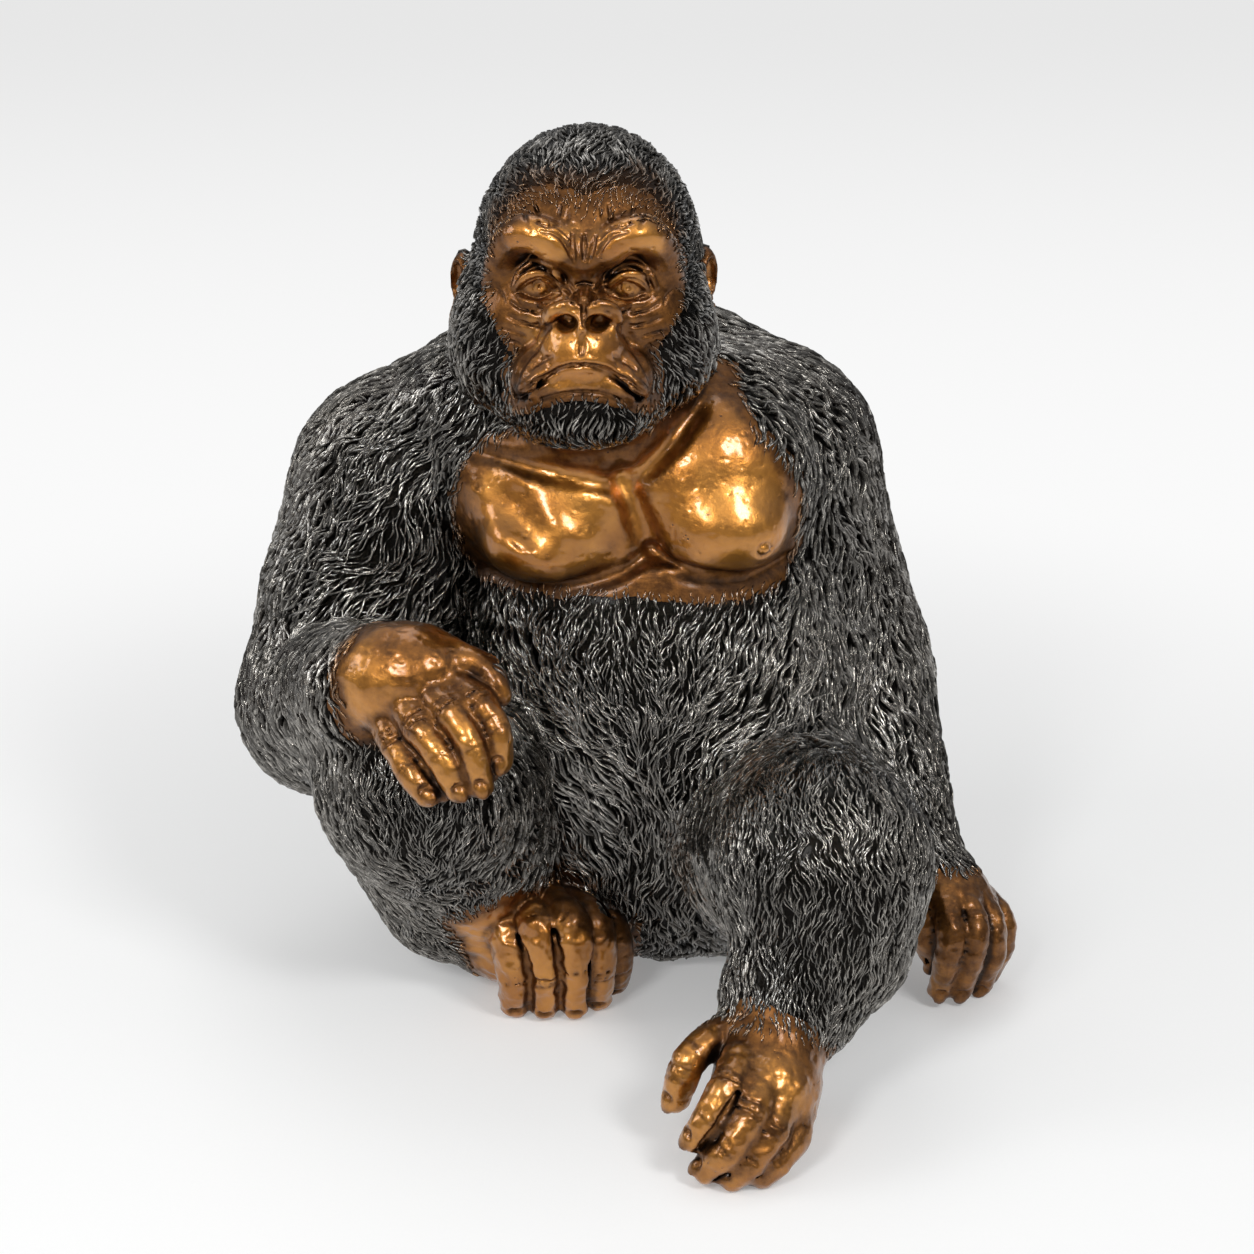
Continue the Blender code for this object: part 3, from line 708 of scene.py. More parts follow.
def digit_carving(clay, frame, lines, radii, back, nails=1.0):
    """Nails, and the skin's creases over the knuckles."""
    outward = frame.axes @ np.array(back, float)
    for number, line in enumerate(lines):
        points = np.array([frame.at(point) for point in line])
        for knuckle, share in ((1, 1.0), (2, 0.9)):
            along, up, across = digit_axes(points[knuckle + 1] - points[knuckle - 1], outward)
            middle = 2.4 * math.sin(number * 3.7 + knuckle * 2.1)
            for shift in np.array([-2.8, -1.0, 0.9, 2.5]) + middle:
                lean = 0.25 * math.sin(number * 2.3 + shift)
                depth = 0.30 + 0.22 * math.sin(number * 5.1 + knuckle * 3 + shift * 2)
                arc = []
                for turn in np.linspace(-1.1, 1.1, 5):
                    ring = up * math.cos(turn) + across * math.sin(turn)
                    place = points[knuckle] + ring * (radii[knuckle] * 1.03)
                    place = place + along * (shift + lean * turn * 2)
                    arc.append((*place, depth * share * math.cos(turn * 0.9)))
                clay.cut(Limb(arc), 0.9)
        along, up, across = digit_axes(points[3] - points[2], outward)
        turn = np.stack([across, along, up], 1)
        radius = radii[3]
        bed = points[3] + up * radius * 0.98 + along * radius * 0.15
        size = (radius * 0.64, radius * 0.84 * nails, radius * 0.26 * nails)
        clay.cut(Blob(bed, size, turn), 0.5)
        nail = points[3] + up * radius * 0.70 + along * radius * 0.24
        size = (radius * 0.56, radius * 0.76 * nails, radius * 0.34)
        clay.add(Blob(nail, size, turn), 0.3)


def toe_gaps(clay, frame, toes, towards, depths, radius):
    """Grooves between the toes, sunk by the depths towards one side."""
    for pair in zip(toes, toes[1:]):
        gap = []
        for point, depth in zip(between_two(*pair), depths):
            gap.append((*(point + np.array(towards) * depth), radius))
        clay.cut(Limb(gap, frame, 3), 1.8)


def tendons(clay, frame, start, lines):
    for line in lines:
        first = np.array(start) + (np.array(line[0]) - start) * 0.25
        points = [(*first, 2.0), (*((first + line[0]) / 2), 3.6), (*line[0], 5.2), (*line[1], 5.4)]
        clay.add(Limb(points, frame, 3), 5)


def right_hand_carving(clay):
    tendons(clay, RIGHT_PALM, (12, -17, 22), RIGHT_FINGERS)
    digit_carving(clay, RIGHT_PALM, RIGHT_FINGERS, FINGER_RADII, (-0.1, -0.75, 0.65))


def left_hand_carving(clay):
    digit_carving(clay, LEFT_PALM, LEFT_FINGERS, FINGER_RADII, (0.1, -1, 0.3))


def right_foot_carving(clay):
    for line in RIGHT_TOES:
        flesh = [(*point, radius) for point, radius in zip(line, (6.9, 8.9, 7.3, 6.1))]
        clay.add(Limb(flesh, RIGHT_SOLE, 3), 1.5)
    toe_gaps(clay, RIGHT_SOLE, RIGHT_TOES, (0, -1, 0), (4.0, 6.0, 6.0, 5.0), 1.5)
    digit_carving(clay, RIGHT_SOLE, RIGHT_TOES, TOE_RADII, (0.05, -1, 0.35), 0.55)


def left_foot_carving(clay):
    tendons(clay, LEFT_SOLE, (0, -6, 10), LEFT_TOES[1:])
    toe_gaps(clay, LEFT_SOLE, LEFT_TOES[1:], (-0.25, -0.4, 0.9), (3.5, 5.0, 5.0, 4.5), 1.4)
    digit_carving(clay, LEFT_SOLE, LEFT_TOES, TOE_RADII, (-0.25, -0.4, 0.9))


# Where the skin is bare: distance in from the fur's edge, positive on bare skin

FAR_FROM_SKIN = -30.0


def ragged(points, depth=1.5):
    """How far the fur's edge strays."""
    return depth * noise(points, 5.0, 2.2)


def bare_face(points):
    x, y, z = in_head(points).T
    x = x - 0.6
    across = np.abs(x)
    top = 39.5 - 3 * np.exp(-((x / 6) ** 2)) - 0.05 * np.maximum(across - 16, 0) ** 2
    bottom = -28.9 - 9.5 * (across / 25) ** 1.6
    heights = [-40, -26, -17, -13, -8, 0, 10, 21, 30]
    half = np.interp(z, heights, [26.5, 26.5, 24.5, 27.5, 30.5, 34.5, 35, 33, 30])
    edge = np.minimum(np.minimum(top - z, z - bottom), half - across)
    return np.minimum(edge + 1.3 * noise(points, 4.0, 3.1), -14 - y)


def bare_ears(points):
    local = in_head(points)
    found = np.full(len(points), FAR_FROM_SKIN)
    for side in SIDES:
        away = (local - (side * 51, 3, 3.5 + 1.5 * side)) * (1, 1, 0.85)
        found = np.maximum(found, 11.5 - np.linalg.norm(away, axis=1))
    return np.where(np.abs(local[:, 0]) > 46, found, FAR_FROM_SKIN)


def bare_chest(points):
    x, y, z = points.T
    side = np.interp(z, [174, 190, 212, 228, 243, 255], [56, 68, 69, 63, 50, 40]) - np.abs(x - 1)
    low = z - 179.5 - 2.5 * np.exp(-(((x + 2) / 22) ** 2))
    across = [-62, -44, -30, -12, 6, 20, 34, 52]
    top = np.interp(x, across, [232, 240, 243, 245, 246, 252, 262, 262])
    edge = np.minimum(np.minimum(side, low), top - z)
    return np.minimum(edge + 1.6 * noise(points, 6.0, 7.7), -30 - y)


def bare_right_hand(points):
    centre = 31 - np.linalg.norm(points - (-82, -120, 156), axis=1)
    fingers = 36 - np.linalg.norm(points - (-66, -142, 138), axis=1)
    near = 2.2 - group_at(RIGHT_HAND, points)
    return np.minimum(np.maximum(centre, fingers) + ragged(points), near * 2)


def bare_left_hand(points):
    near = 2.0 - group_at(LEFT_HAND, points)
    wrist = 52 - points[:, 2] - 0.35 * (points[:, 1] + 70) + ragged(points)
    return np.minimum(wrist, near * 2)


def bare_right_foot(points):
    x, y, z = points.T
    top = np.interp(x, [-84, -66, -46, -30, -14, 0], [44, 48, 58, 55, 45, 33])
    edge = np.minimum(top - z, -44 - y - 0.25 * (x + 40) * (x > -40))
    edge = np.minimum(edge, 2 - x)
    return np.minimum(edge, x + 73 - 0.27 * (44 - z)) + ragged(points)


def bare_left_foot(points):
    near = 2.0 - group_at(LEFT_FOOT, points)
    ankle = -189 - points[:, 1] - 0.45 * (points[:, 2] - 44) + ragged(points, 2.0)
    return np.minimum(ankle, near * 2)


RIGHT_HAND = list(right_hand())
LEFT_HAND = list(left_hand())
LEFT_FOOT = list(left_foot())
# Each bare region: mask, box, the step that its skin is made at, and its carving
REGIONS = {
    "face": (bare_face, (-66, -122, 240), (34, -46, 349), 0.55, face_carving),
    "ears": (bare_ears, (-80, -64, 280), (46, -20, 320), 1.0, None),
    "chest": (bare_chest, (-88, -104, 168), (92, -8, 272), 0.9, chest_carving),
    "right_hand": (bare_right_hand, (-122, -164, 96), (-36, -78, 192), 0.8, right_hand_carving),
    "left_hand": (bare_left_hand, (96, -112, -4), (174, -40, 66), 0.8, left_hand_carving),
    "right_foot": (bare_right_foot, (-96, -124, -4), (14, -28, 66), 0.8, right_foot_carving),
    "left_foot": (bare_left_foot, (4, -250, -4), (88, -160, 66), 0.8, left_foot_carving),
}


def bare_at(points):
    """Greatest distance in from the fur's edge over all bare regions."""
    found = np.full(len(points), FAR_FROM_SKIN)
    for mask, low, high, _, _ in REGIONS.values():
        inside = np.all((points > low) & (points < high), axis=1)
        if inside.any():
            found[inside] = np.maximum(found[inside], mask(points[inside]))
    return found


# Skins

SHIFT = np.zeros(3)  # from the clay's place to that of the CAD, in millimetres


def piece(name, points, faces, material, numbers):
    """Mesh object from points in millimetres, with numbers per point."""
    mesh = bpy.data.meshes.new(name)
    points = (np.asarray(points) + SHIFT) * METRES
    mesh.from_pydata(points.tolist(), [], faces)
    mesh.polygons.foreach_set("use_smooth", np.full(len(mesh.polygons), True))
    for key, values in numbers.items():
        layer = mesh.attributes.new(key, "FLOAT", "POINT")
        layer.data.foreach_set("value", np.asarray(values, np.float32))
    mesh.materials.append(material)
    made = bpy.data.objects.new(name, mesh)
    bpy.context.scene.collection.objects.link(made)
    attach(made, "root")
    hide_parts("gorilla")


def quads_of(clay):
    """Points and four-sided faces of a skin, three-sided ones doubled up."""
    points, faces = clay.skin()
    four = np.array([face if len(face) == 4 else face + face[-1:] for face in faces], int)
    return points, four


def trimmed(points, faces, keep):
    faces = faces[keep[faces].all(axis=1)]
    used, index = np.unique(faces, return_inverse=True)
    faces = index.reshape(faces.shape)
    clean = [face.tolist() if face[2] != face[3] else face[:3].tolist() for face in faces]
    return used, clean


def cavity(clay, points, normals, reach):
    """How far a place lies in a hollow, 0 in the open and 1 deep in."""
    return np.clip(1 - clay.at(points + normals * reach) / reach, 0, 1)


def region_skin(name, finish):
    """Bare skin of one region, roughened, with how hollow it is, for patina and painted shade, and how far it
    is polished bright, with painted shade on the chest.
    """
    mask, low, high, step, carving = REGIONS[name]
    clay = figure(low, high, step, carving)
    points, faces = quads_of(clay)
    bare = mask(points)
    rim = 2 * step
    inside = np.all((points > np.array(low) + rim) & (points < np.array(high) - rim), axis=1)
    used, faces = trimmed(points, faces, (bare > -5) & inside)
    points = points[used]
    bare = bare[used]
    normals = slope_at(clay, points, step)
    # Patina together with painted shade: darker the deeper a place lies in a hollow, and near-black deep in
    # wide hollows such as the nostrils
    hollow = cavity(clay, points, normals, 3.5) + 0.7 * cavity(clay, points, normals, 1.2)
    deep = 0.75 if name in ("face", "chest") else 1.15
    hollow = deep * hollow + 0.55 * rise(cavity(clay, points, normals, 6.5), 0.85, 1.0)
    # Share polished bright, which on the chest also holds painted shade under the beard
    wear_and_shade = WEAR_AND_SHADE[name]
    worn_and_shaded = wear_and_shade(points, bare) if callable(wear_and_shade) else wear_and_shade * even_wear(bare)
    rough = 0.20 * noise(points, 5.5, 1.0) + 0.10 * noise(points, 2.2, 4.0)
    rugged = RUGGED.get(name, 1.0)
    rough = rough * rugged + 0.3 * noise(points, 3.3, 6.0) * max(rugged - 1.2, 0)
    rough -= 0.20 * rise(noise(points, 1.7, 8.0), 0.45, 0.8)
    points = points + normals * (rough * rise(worn_and_shaded, -0.2, 0.5))[:, None]
    points[:, 2] = np.maximum(points[:, 2], 0.0)
    piece("skin_" + name, points, faces, finish, {"hollow": hollow, "worn_and_shaded": worn_and_shaded})


def even_wear(bare):
    return rise(bare, -3, 9)


def face_wear(points, bare):
    """Brows, muzzle and the surrounds of the eyes shine."""
    x, _, z = in_head(points).T
    shine = 0.04 + 0.16 * rise(z, -4, 8)
    for middle, wide, height, high in ((-16, 17, 26, 9), (17, 17, 26, 9), (0.5, 25, -16, 22)):
        away = ((x - middle) / wide) ** 2 + ((z - height) / high) ** 2
        shine = np.maximum(shine, np.exp(-(away**2)))
    away = ((np.abs(x - 0.8) - 16.8) / 14) ** 2 + ((z - 8) / 10) ** 2
    shine = np.maximum(shine, 0.85 * np.exp(-away))
    return shine * rise(bare, -4, 5)


def chest_wear_and_shade(points, bare):
    """The muscles are polished bright; the neck above the collar, under the beard, is darkened as painted
    shade, and the lower edge is duller.
    """
    x, _, z = points.T
    collar = 224 + np.where(x < -2, np.minimum(-0.2 * (x + 2), 9), 0.85 * (x + 2))
    # Painted shade: the neck under the beard, above the collar line, is kept dark
    neck = rise(z - collar, -1, 7)
    low = rise(z + 1.2 * noise(points, 7, 3.0), 181, 190)
    return rise(bare, -3, 12) * (1 - 0.72 * neck) * (0.62 + 0.38 * low)


def hand_wear(points, bare):
    """The back of the hand shines more than the fingers."""
    low = rise(points[:, 2], 110, 145)
    return (0.62 + 0.38 * low) * even_wear(bare)


# How rugged the bare skin is, against that of the face
RUGGED = {"chest": 0.7, "right_hand": 1.5, "left_hand": 2.4, "right_foot": 2.8, "left_foot": 2.0}
# How far to the bright metal each region is polished, with painted shade on the chest: a share where it is even
WEAR_AND_SHADE = {
    "face": face_wear,
    "ears": 0.6,
    "chest": chest_wear_and_shade,
    "right_hand": hand_wear,
    "left_hand": 0.6,
    "right_foot": 0.85,
    "left_foot": 1.0,
}


# Fur

# Which way the hair lies and how long it is: place, direction, length
LIE = [
    (-17, 42, 268, 0, 0.4, -1, 12), (-60, 5, 255, -1, 0, -0.5, 12),
    (-74, -32, 226, -0.7, 0, -0.7, 13), (-136, -8, 172, -0.3, 0, -1, 16),
    (-106, -46, 160, -0.95, 0, -0.45, 17), (-88, -66, 150, -0.95, -0.2, -0.25, 16),
    (-152, -36, 108, 0.1, -0.5, -0.9, 15), (-122, -76, 126, 0.15, -0.3, -1, 15),
    (-116, -62, 96, 0.2, -0.4, -1, 14), (-80, -128, 100, 0.05, -0.5, -0.9, 8),
    (-98, -80, 62, 0.15, -0.3, -1, 9), (-52, -92, 42, 0.3, -0.5, -0.6, 7),
    (-108, -15, 60, 0, -0.3, -1, 13), (0, -82, 172, 0, 0, -1, 8), (-70, -56, 188, 0.2, 0, -1, 12),
    (-50, -80, 140, 0.5, 0, -0.85, 15), (-28, -90, 104, 0.85, 0, -0.55, 18),
    (20, -98, 74, 0, 0, -1, 12), (66, -66, 142, -0.5, 0, -0.85, 15),
    (56, -88, 110, -0.85, 0, -0.55, 18), (20, -90, 30, 0, 0, -1, 12), (35, 5, 255, 1, 0, -0.5, 12),
    (50, -32, 190, -0.6, 0, -0.8, 15), (96, -16, 190, 0.6, 0, -0.8, 16),
    (82, -32, 150, -0.4, 0, -1, 17), (112, -16, 146, 0.5, 0, -1, 17),
    (115, -40, 86, 0.15, -0.4, -0.9, 14), (128, -64, 56, 0.2, -0.4, -0.9, 11),
    (77, -150, 132, 0, -1, -0.3, 9), (77, -190, 95, 0.1, -0.2, -1, 8),
    (66, -192, 60, -0.1, -0.3, -1, 8), (112, -150, 70, 0.2, -0.4, -1, 10),
    (60, -90, 96, 0.1, -1, -0.2, 12), (36, -130, 70, 0, -0.6, -0.8, 10),
    (-10, 80, 220, 0, 0.1, -1, 17), (0, 85, 130, 0, 0, -1, 18), (0, 80, 60, 0, 0, -1, 16),
    (-80, 50, 120, -0.1, 0.2, -1, 17), (85, 50, 120, 0.1, 0.2, -1, 17),
    (-92, 30, 50, 0, 0, -1, 14), (100, 30, 50, 0, 0, -1, 14),
]
LIE_REACH = 30.0
STEPS = 5  # rows of points along a strand
# Each row's share of the strand's breadth, lift, crown and painted shine on the crest, lower towards the root
# as painted shade
WIDTHS = (0.30, 0.90, 1.0, 0.78, 0.0)
LIFTS = (0.1, 0.85, 1.0, 0.75, 0.15)
CROWNS = (0.5, 1.0, 1.0, 0.9, 0.0)
RIDGES = (0.35, 1.0, 1.0, 0.9)
TIP_RIDGE = 0.7
# Hair from one length to another, and the gap between its roots
ROOT_GAPS = ((0, 9.5, 2.15), (9.5, 13, 2.7), (13, 99, 3.2))


def lie_at(points):
    """Direction that the hair lies in, not yet on the surface, and its length."""
    towards = np.zeros_like(points)
    towards[:, 2] = -1e-3
    length = np.full(len(points), 14e-3)
    weight = np.full(len(points), 1e-3)
    for row in LIE:
        near = np.exp(-((points - row[:3]) ** 2).sum(1) / LIE_REACH**2)
        towards += near[:, None] * np.array(row[3:6]) / np.linalg.norm(row[3:6])
        length += near * row[6]
        weight += near
    local = in_head(points)
    out = local - (0, -42, 14)
    out /= np.linalg.norm(out, axis=1)[:, None]
    out[:, 2] -= 0.55 * rise(-local[:, 2], -12, 14) + 1.3 * rise(local[:, 1], 5, 40)
    head = rise(68 - np.linalg.norm(local * (1, 1, 0.8), axis=1), 0, 10) * 30
    towards += head[:, None] * (out @ HEAD.axes.T)
    length += head * (8.5 + 2.5 * rise(-local[:, 2], 0, 30))
    weight += head
    return towards / weight[:, None], length / weight


def locks(clay, roots, bare, chance):
    """Place, normal, side, breadth and lift of each strand, row by row."""
    count = len(roots)
    _, length = lie_at(roots)
    length = length * chance.uniform(0.7, 1.25, count) * (0.48 + 0.52 * rise(-bare, 0, 13))
    breadth = (0.62 + 0.098 * length) * chance.uniform(0.75, 1.25, count)
    coarse = rise(length, 6, 15)
    own = chance.normal(0, 0.14, (count, 3))
    phase = 2 * math.pi * noise(roots, 14, 5.0) + chance.uniform(-0.6, 0.6, count)
    lift = (0.3 + 1.7 * coarse) * chance.uniform(0.1, 1.0, count)
    place = roots.copy()
    rows = []
    for index in range(STEPS):
        normal = slope_at(clay, place, FUR_STEP)
        place = place - clay.at(place)[:, None] * normal
        towards, _ = lie_at(place)
        for axis in range(3):
            waves = 0.42 * noise(place, 9.0, 13.0 * axis) + 0.22 * noise(place, 4.0, 7.0 * axis)
            towards[:, axis] += waves
        towards = towards + own
        towards -= (towards * normal).sum(1)[:, None] * normal
        towards /= np.maximum(np.linalg.norm(towards, axis=1), 1e-6)[:, None]
        side = np.cross(normal, towards)
        sway = 0.095 * length * np.sin(phase + 5.2 * index / (STEPS - 1))
        middle = place + side * sway[:, None]
        rows.append((middle, normal, side, breadth * WIDTHS[index], lift * LIFTS[index]))
        place = place + towards * (length / (STEPS - 1))[:, None]
    return rows, coarse


def warmth(points, bare):
    """How brown the fur is: all round the bare skin, and further up the forehead."""
    local = in_head(points)
    _, front, up = local.T
    reach = 5 + 16 * rise(up, 20, 30) * rise(-front, 0, 14)
    reach = np.where((front < -20) & (np.abs(local[:, 0]) < 34) & (up < 10), 3, reach)
    return rise(bare / reach, -1, 0.2)


def strands(name, clay, roots, chance, finish):
    """Tapered strands, each three points wide, that end in a point."""
    bare = bare_at(roots)
    rows, coarse = locks(clay, roots, bare, chance)
    warm = warmth(roots, bare)
    own = chance.uniform(0, 40, len(roots))
    found = []
    numbers = {"warm": [], "ridge": [], "across": [], "along": []}
    for index, (place, normal, side, width, height) in enumerate(rows):
        if index < STEPS - 1:
            crown = (0.62 + 0.68 * coarse) * CROWNS[index]
            rim = place + normal * (height - 0.45 - 0.45 * coarse)[:, None]
            half = side * (width / 2)[:, None]
            found += [rim + half, place + normal * (height + crown)[:, None], rim - half]
            # Painted shade at the two rims, painted light on the crest
            shines = ((0.0, 0.0), (RIDGES[index], 1.0), (0.0, 2.0))
        else:
            found.append(place + normal * (height - 0.1)[:, None])
            shines = ((TIP_RIDGE, 1.0),)
        for ridge, across in shines:
            numbers["ridge"].append(np.full(len(roots), ridge))
            numbers["across"].append(own + across)
            numbers["along"].append(own * 3 + index)
            numbers["warm"].append(warm)
    points = np.stack(found, axis=1)
    points[..., 2] = np.maximum(points[..., 2], 0.15)
    first = np.arange(len(roots))[:, None] * points.shape[1]
    four = []
    for low in range(0, 3 * (STEPS - 2), 3):
        for left, right in ((low, low + 1), (low + 1, low + 2)):
            four.append(first + np.array([left, right, right + 3, left + 3]))
    tip = 3 * (STEPS - 1)
    three = [first + np.array([left, left + 1, tip]) for left in (tip - 3, tip - 2)]
    faces = np.concatenate(four).tolist() + np.concatenate(three).tolist()
    flat = {key: np.stack(values, axis=1).ravel() for key, values in numbers.items()}
    piece(name, points.reshape(-1, 3), faces, finish, flat)


def rooted(points, lengths, chance):
    """Places spread evenly, closer where the hair is short."""
    chosen = []
    for low, high, gap in ROOT_GAPS:
        here = np.flatnonzero((lengths >= low) & (lengths < high))
        cells = np.floor(points[here] / gap + 0.37).astype(int) + 500
        keys = (cells[:, 0] * 1000 + cells[:, 1]) * 1000 + cells[:, 2]
        order = chance.permutation(len(here))
        _, first = np.unique(keys[order], return_index=True)
        chosen.append(here[order][first])
    return np.concatenate(chosen)


def coat(clay, points, finish):
    """Strands rooted all over the furred skin, in one piece for each zone."""
    chance = np.random.default_rng(FUR_SEED)
    bare = bare_at(points)
    _, front, up = in_head(points).T
    thin = 6.5 * rise(up, 24, 32) * rise(-front, 8, 22)
    furred = bare < -0.5 + thin * chance.uniform(0, 1, len(points))
    points = points[furred & (points[:, 2] > 1.5)]
    _, lengths = lie_at(points)
    roots = points[rooted(points, lengths, chance)]
    roots = roots + chance.uniform(-0.9, 0.9, roots.shape)
    head = np.linalg.norm(in_head(roots) * (1, 1, 0.85), axis=1) < 62
    x, y, z = roots.T
    zones = {
        "fur_head": head,
        "fur_back": y > 12,
        "fur_right_arm": (x < -62) & (z > 92 - 0.1 * y),
        "fur_left_arm": (x > 84) & (y > -100),
        "fur_left_leg": (y < -88) & (x > 28),
        "fur_right_leg": (x < -30) & (z < 110) & (y < -10),
        "fur_front": np.full(len(roots), True),
    }
    left = np.full(len(roots), True)
    for name, where in zones.items():
        strands(name, clay, roots[where & left], chance, finish)
        left &= ~where


# Materials

def material(name):
    made = bpy.data.materials.new(name)
    made.use_nodes = True
    made.node_tree.nodes.clear()
    output = made.node_tree.nodes.new("ShaderNodeOutputMaterial")
    shader = made.node_tree.nodes.new("ShaderNodeBsdfPrincipled")
    made.node_tree.links.new(shader.outputs[0], output.inputs[0])
    return made, shader


class Nodes:
    """Short ways to add the nodes of one material."""

    def __init__(self, made):
        self.tree = made.node_tree

    def new(self, kind, **values):
        node = self.tree.nodes.new("ShaderNode" + kind)
        for key, value in values.items():
            setattr(node, key, value)
        return node

    def fill(self, node, **inputs):
        """Sets or links inputs, given by name with _ for a space."""
        for key, value in inputs.items():
            self.put(node, key.replace("_", " "), value)

    def put(self, node, key, value):
        if hasattr(value, "is_output"):
            self.tree.links.new(value, node.inputs[key])
        else:
            node.inputs[key].default_value = value

    def made_of(self, node, values, output=0):
        """Sets or links the first inputs of a node in turn."""
        for index, value in enumerate(values):
            self.put(node, index, value)
        return node.outputs[output]

    def number(self, name):
        return self.new("Attribute", attribute_name=name).outputs["Fac"]

    def place(self):
        return self.new("NewGeometry").outputs["Position"]

    def noise(self, vector, scale, detail=3.0, roughness=0.55):
        node = self.new("TexNoise")
        self.fill(node, Vector=vector, Scale=scale, Detail=detail, Roughness=roughness)
        return node.outputs["Fac"]

    def spots(self, vector, scale):
        node = self.new("TexVoronoi")
        self.fill(node, Vector=vector, Scale=scale)
        return node.outputs["Distance"]

    def sum(self, operation, first, second=0.0):
        return self.made_of(self.new("Math", operation=operation), (first, second))

    def plus(self, first, second):
        return self.sum("ADD", first, second)

    def times(self, first, second):
        return self.sum("MULTIPLY", first, second)

    def minus(self, first, second):
        return self.sum("SUBTRACT", first, second)

    def span(self, value, low, high, first=0.0, last=1.0):
        node = self.new("MapRange", clamp=True, interpolation_type="SMOOTHSTEP")
        return self.made_of(node, (value, low, high, first, last))

    def mix(self, share, first, second):
        node = self.new("Mix", data_type="RGBA")
        for index, value in ((0, share), (6, first), (7, second)):
            self.put(node, index, value)
        return node.outputs[2]

    def bump(self, height, distance, strength):
        node = self.new("Bump")
        self.fill(node, Strength=strength, Distance=distance, Height=height)
        return node.outputs[0]


# Colours of the bare bronze, from bright to the dark of its hollows, which is patina together with painted
# shade
BRIGHT_GOLD = (0.55, 0.235, 0.038, 1)
DULL_GOLD = (0.38, 0.142, 0.018, 1)
LIGHT_BROWN = (0.21, 0.083, 0.018, 1)
DARK_BROWN = (0.095, 0.036, 0.009, 1)
HOLLOW_PATINA_SHADE_BROWN = (0.026, 0.013, 0.007, 1)
PIT_BROWN = (0.025, 0.013, 0.008, 1)
# Colours of the fur: its grey, and the brown next to bare skin
PALE_GREY = (0.235, 0.214, 0.185, 1)
DARK_GREY = (0.130, 0.119, 0.103, 1)
WARM_BRONZE = (0.36, 0.165, 0.055, 1)
# Near-black of the gaps between strands and of the body under the fur: patina together with painted shade
GAP_PATINA_SHADE_BLACK = (0.006, 0.005, 0.004, 1)
GAP_PATINA_SHADE_BROWN = (0.060, 0.026, 0.010, 1)
# Painted highlight on the strand crests, standing in for glints, shown as polished bright metal
GLINT_RUBBED_GREY = (0.62, 0.585, 0.53, 1)
GLINT_RUBBED_BRONZE = (0.62, 0.36, 0.15, 1)
GRIME = (0.016, 0.014, 0.011, 1)
# Colours of the floor
PAPER_LOW = (0.885, 0.885, 0.88, 1)
PAPER_HIGH = (0.915, 0.915, 0.91, 1)
HORIZON = (0.80, 0.80, 0.80, 1)


def skin_bronze():
    """Bronze polished bright by use and dark in its pits; its hollows darken with patina together with painted
    shade, and the neck under the beard with painted shade.
    """
    made, shader = material("worn_bronze")
    n = Nodes(made)
    place = n.place()
    cloud = n.noise(place, 26, 4, 0.6)
    fine = n.noise(place, 190, 5, 0.68)
    grain = n.noise(place, 1100, 3, 0.6)
    share = n.plus(n.number("worn_and_shaded"), n.times(n.minus(cloud, 0.5), 0.8))
    share = n.plus(share, n.times(n.minus(fine, 0.5), 0.5))
    # Hollows darken towards the hollow colour: patina together with painted shade
    share = n.minus(share, n.number("hollow"))
    gold = n.mix(n.span(cloud, 0.35, 0.65), DULL_GOLD, BRIGHT_GOLD)
    brown = n.mix(n.span(fine, 0.3, 0.7), DARK_BROWN, LIGHT_BROWN)
    colour = n.mix(n.span(share, 0.18, 0.90), brown, gold)
    colour = n.mix(n.span(share, -0.80, 0.12, 1.0, 0.0), colour, HOLLOW_PATINA_SHADE_BROWN)
    pits = n.span(n.spots(place, 260), 0.05, 0.16, 1.0, 0.0)
    pits = n.times(pits, n.span(n.noise(place, 60, 2), 0.52, 0.70))
    height = n.minus(n.times(fine, 0.7), n.times(pits, 1.2))
    height = n.plus(height, n.times(grain, 0.16))
    n.fill(
        shader,
        Base_Color=n.mix(n.times(pits, 0.8), colour, PIT_BROWN),
        Metallic=0.93,
        Roughness=n.plus(n.span(fine, 0.3, 0.75, 0.30, 0.42), n.span(share, -0.2, 0.6, 0.06, 0.0)),
        Coat_Weight=n.span(share, -0.1, 0.9, 0.2, 1.0),
        Coat_Roughness=0.15,
        Normal=n.bump(height, 0.0006, 0.6),
    )
    return made


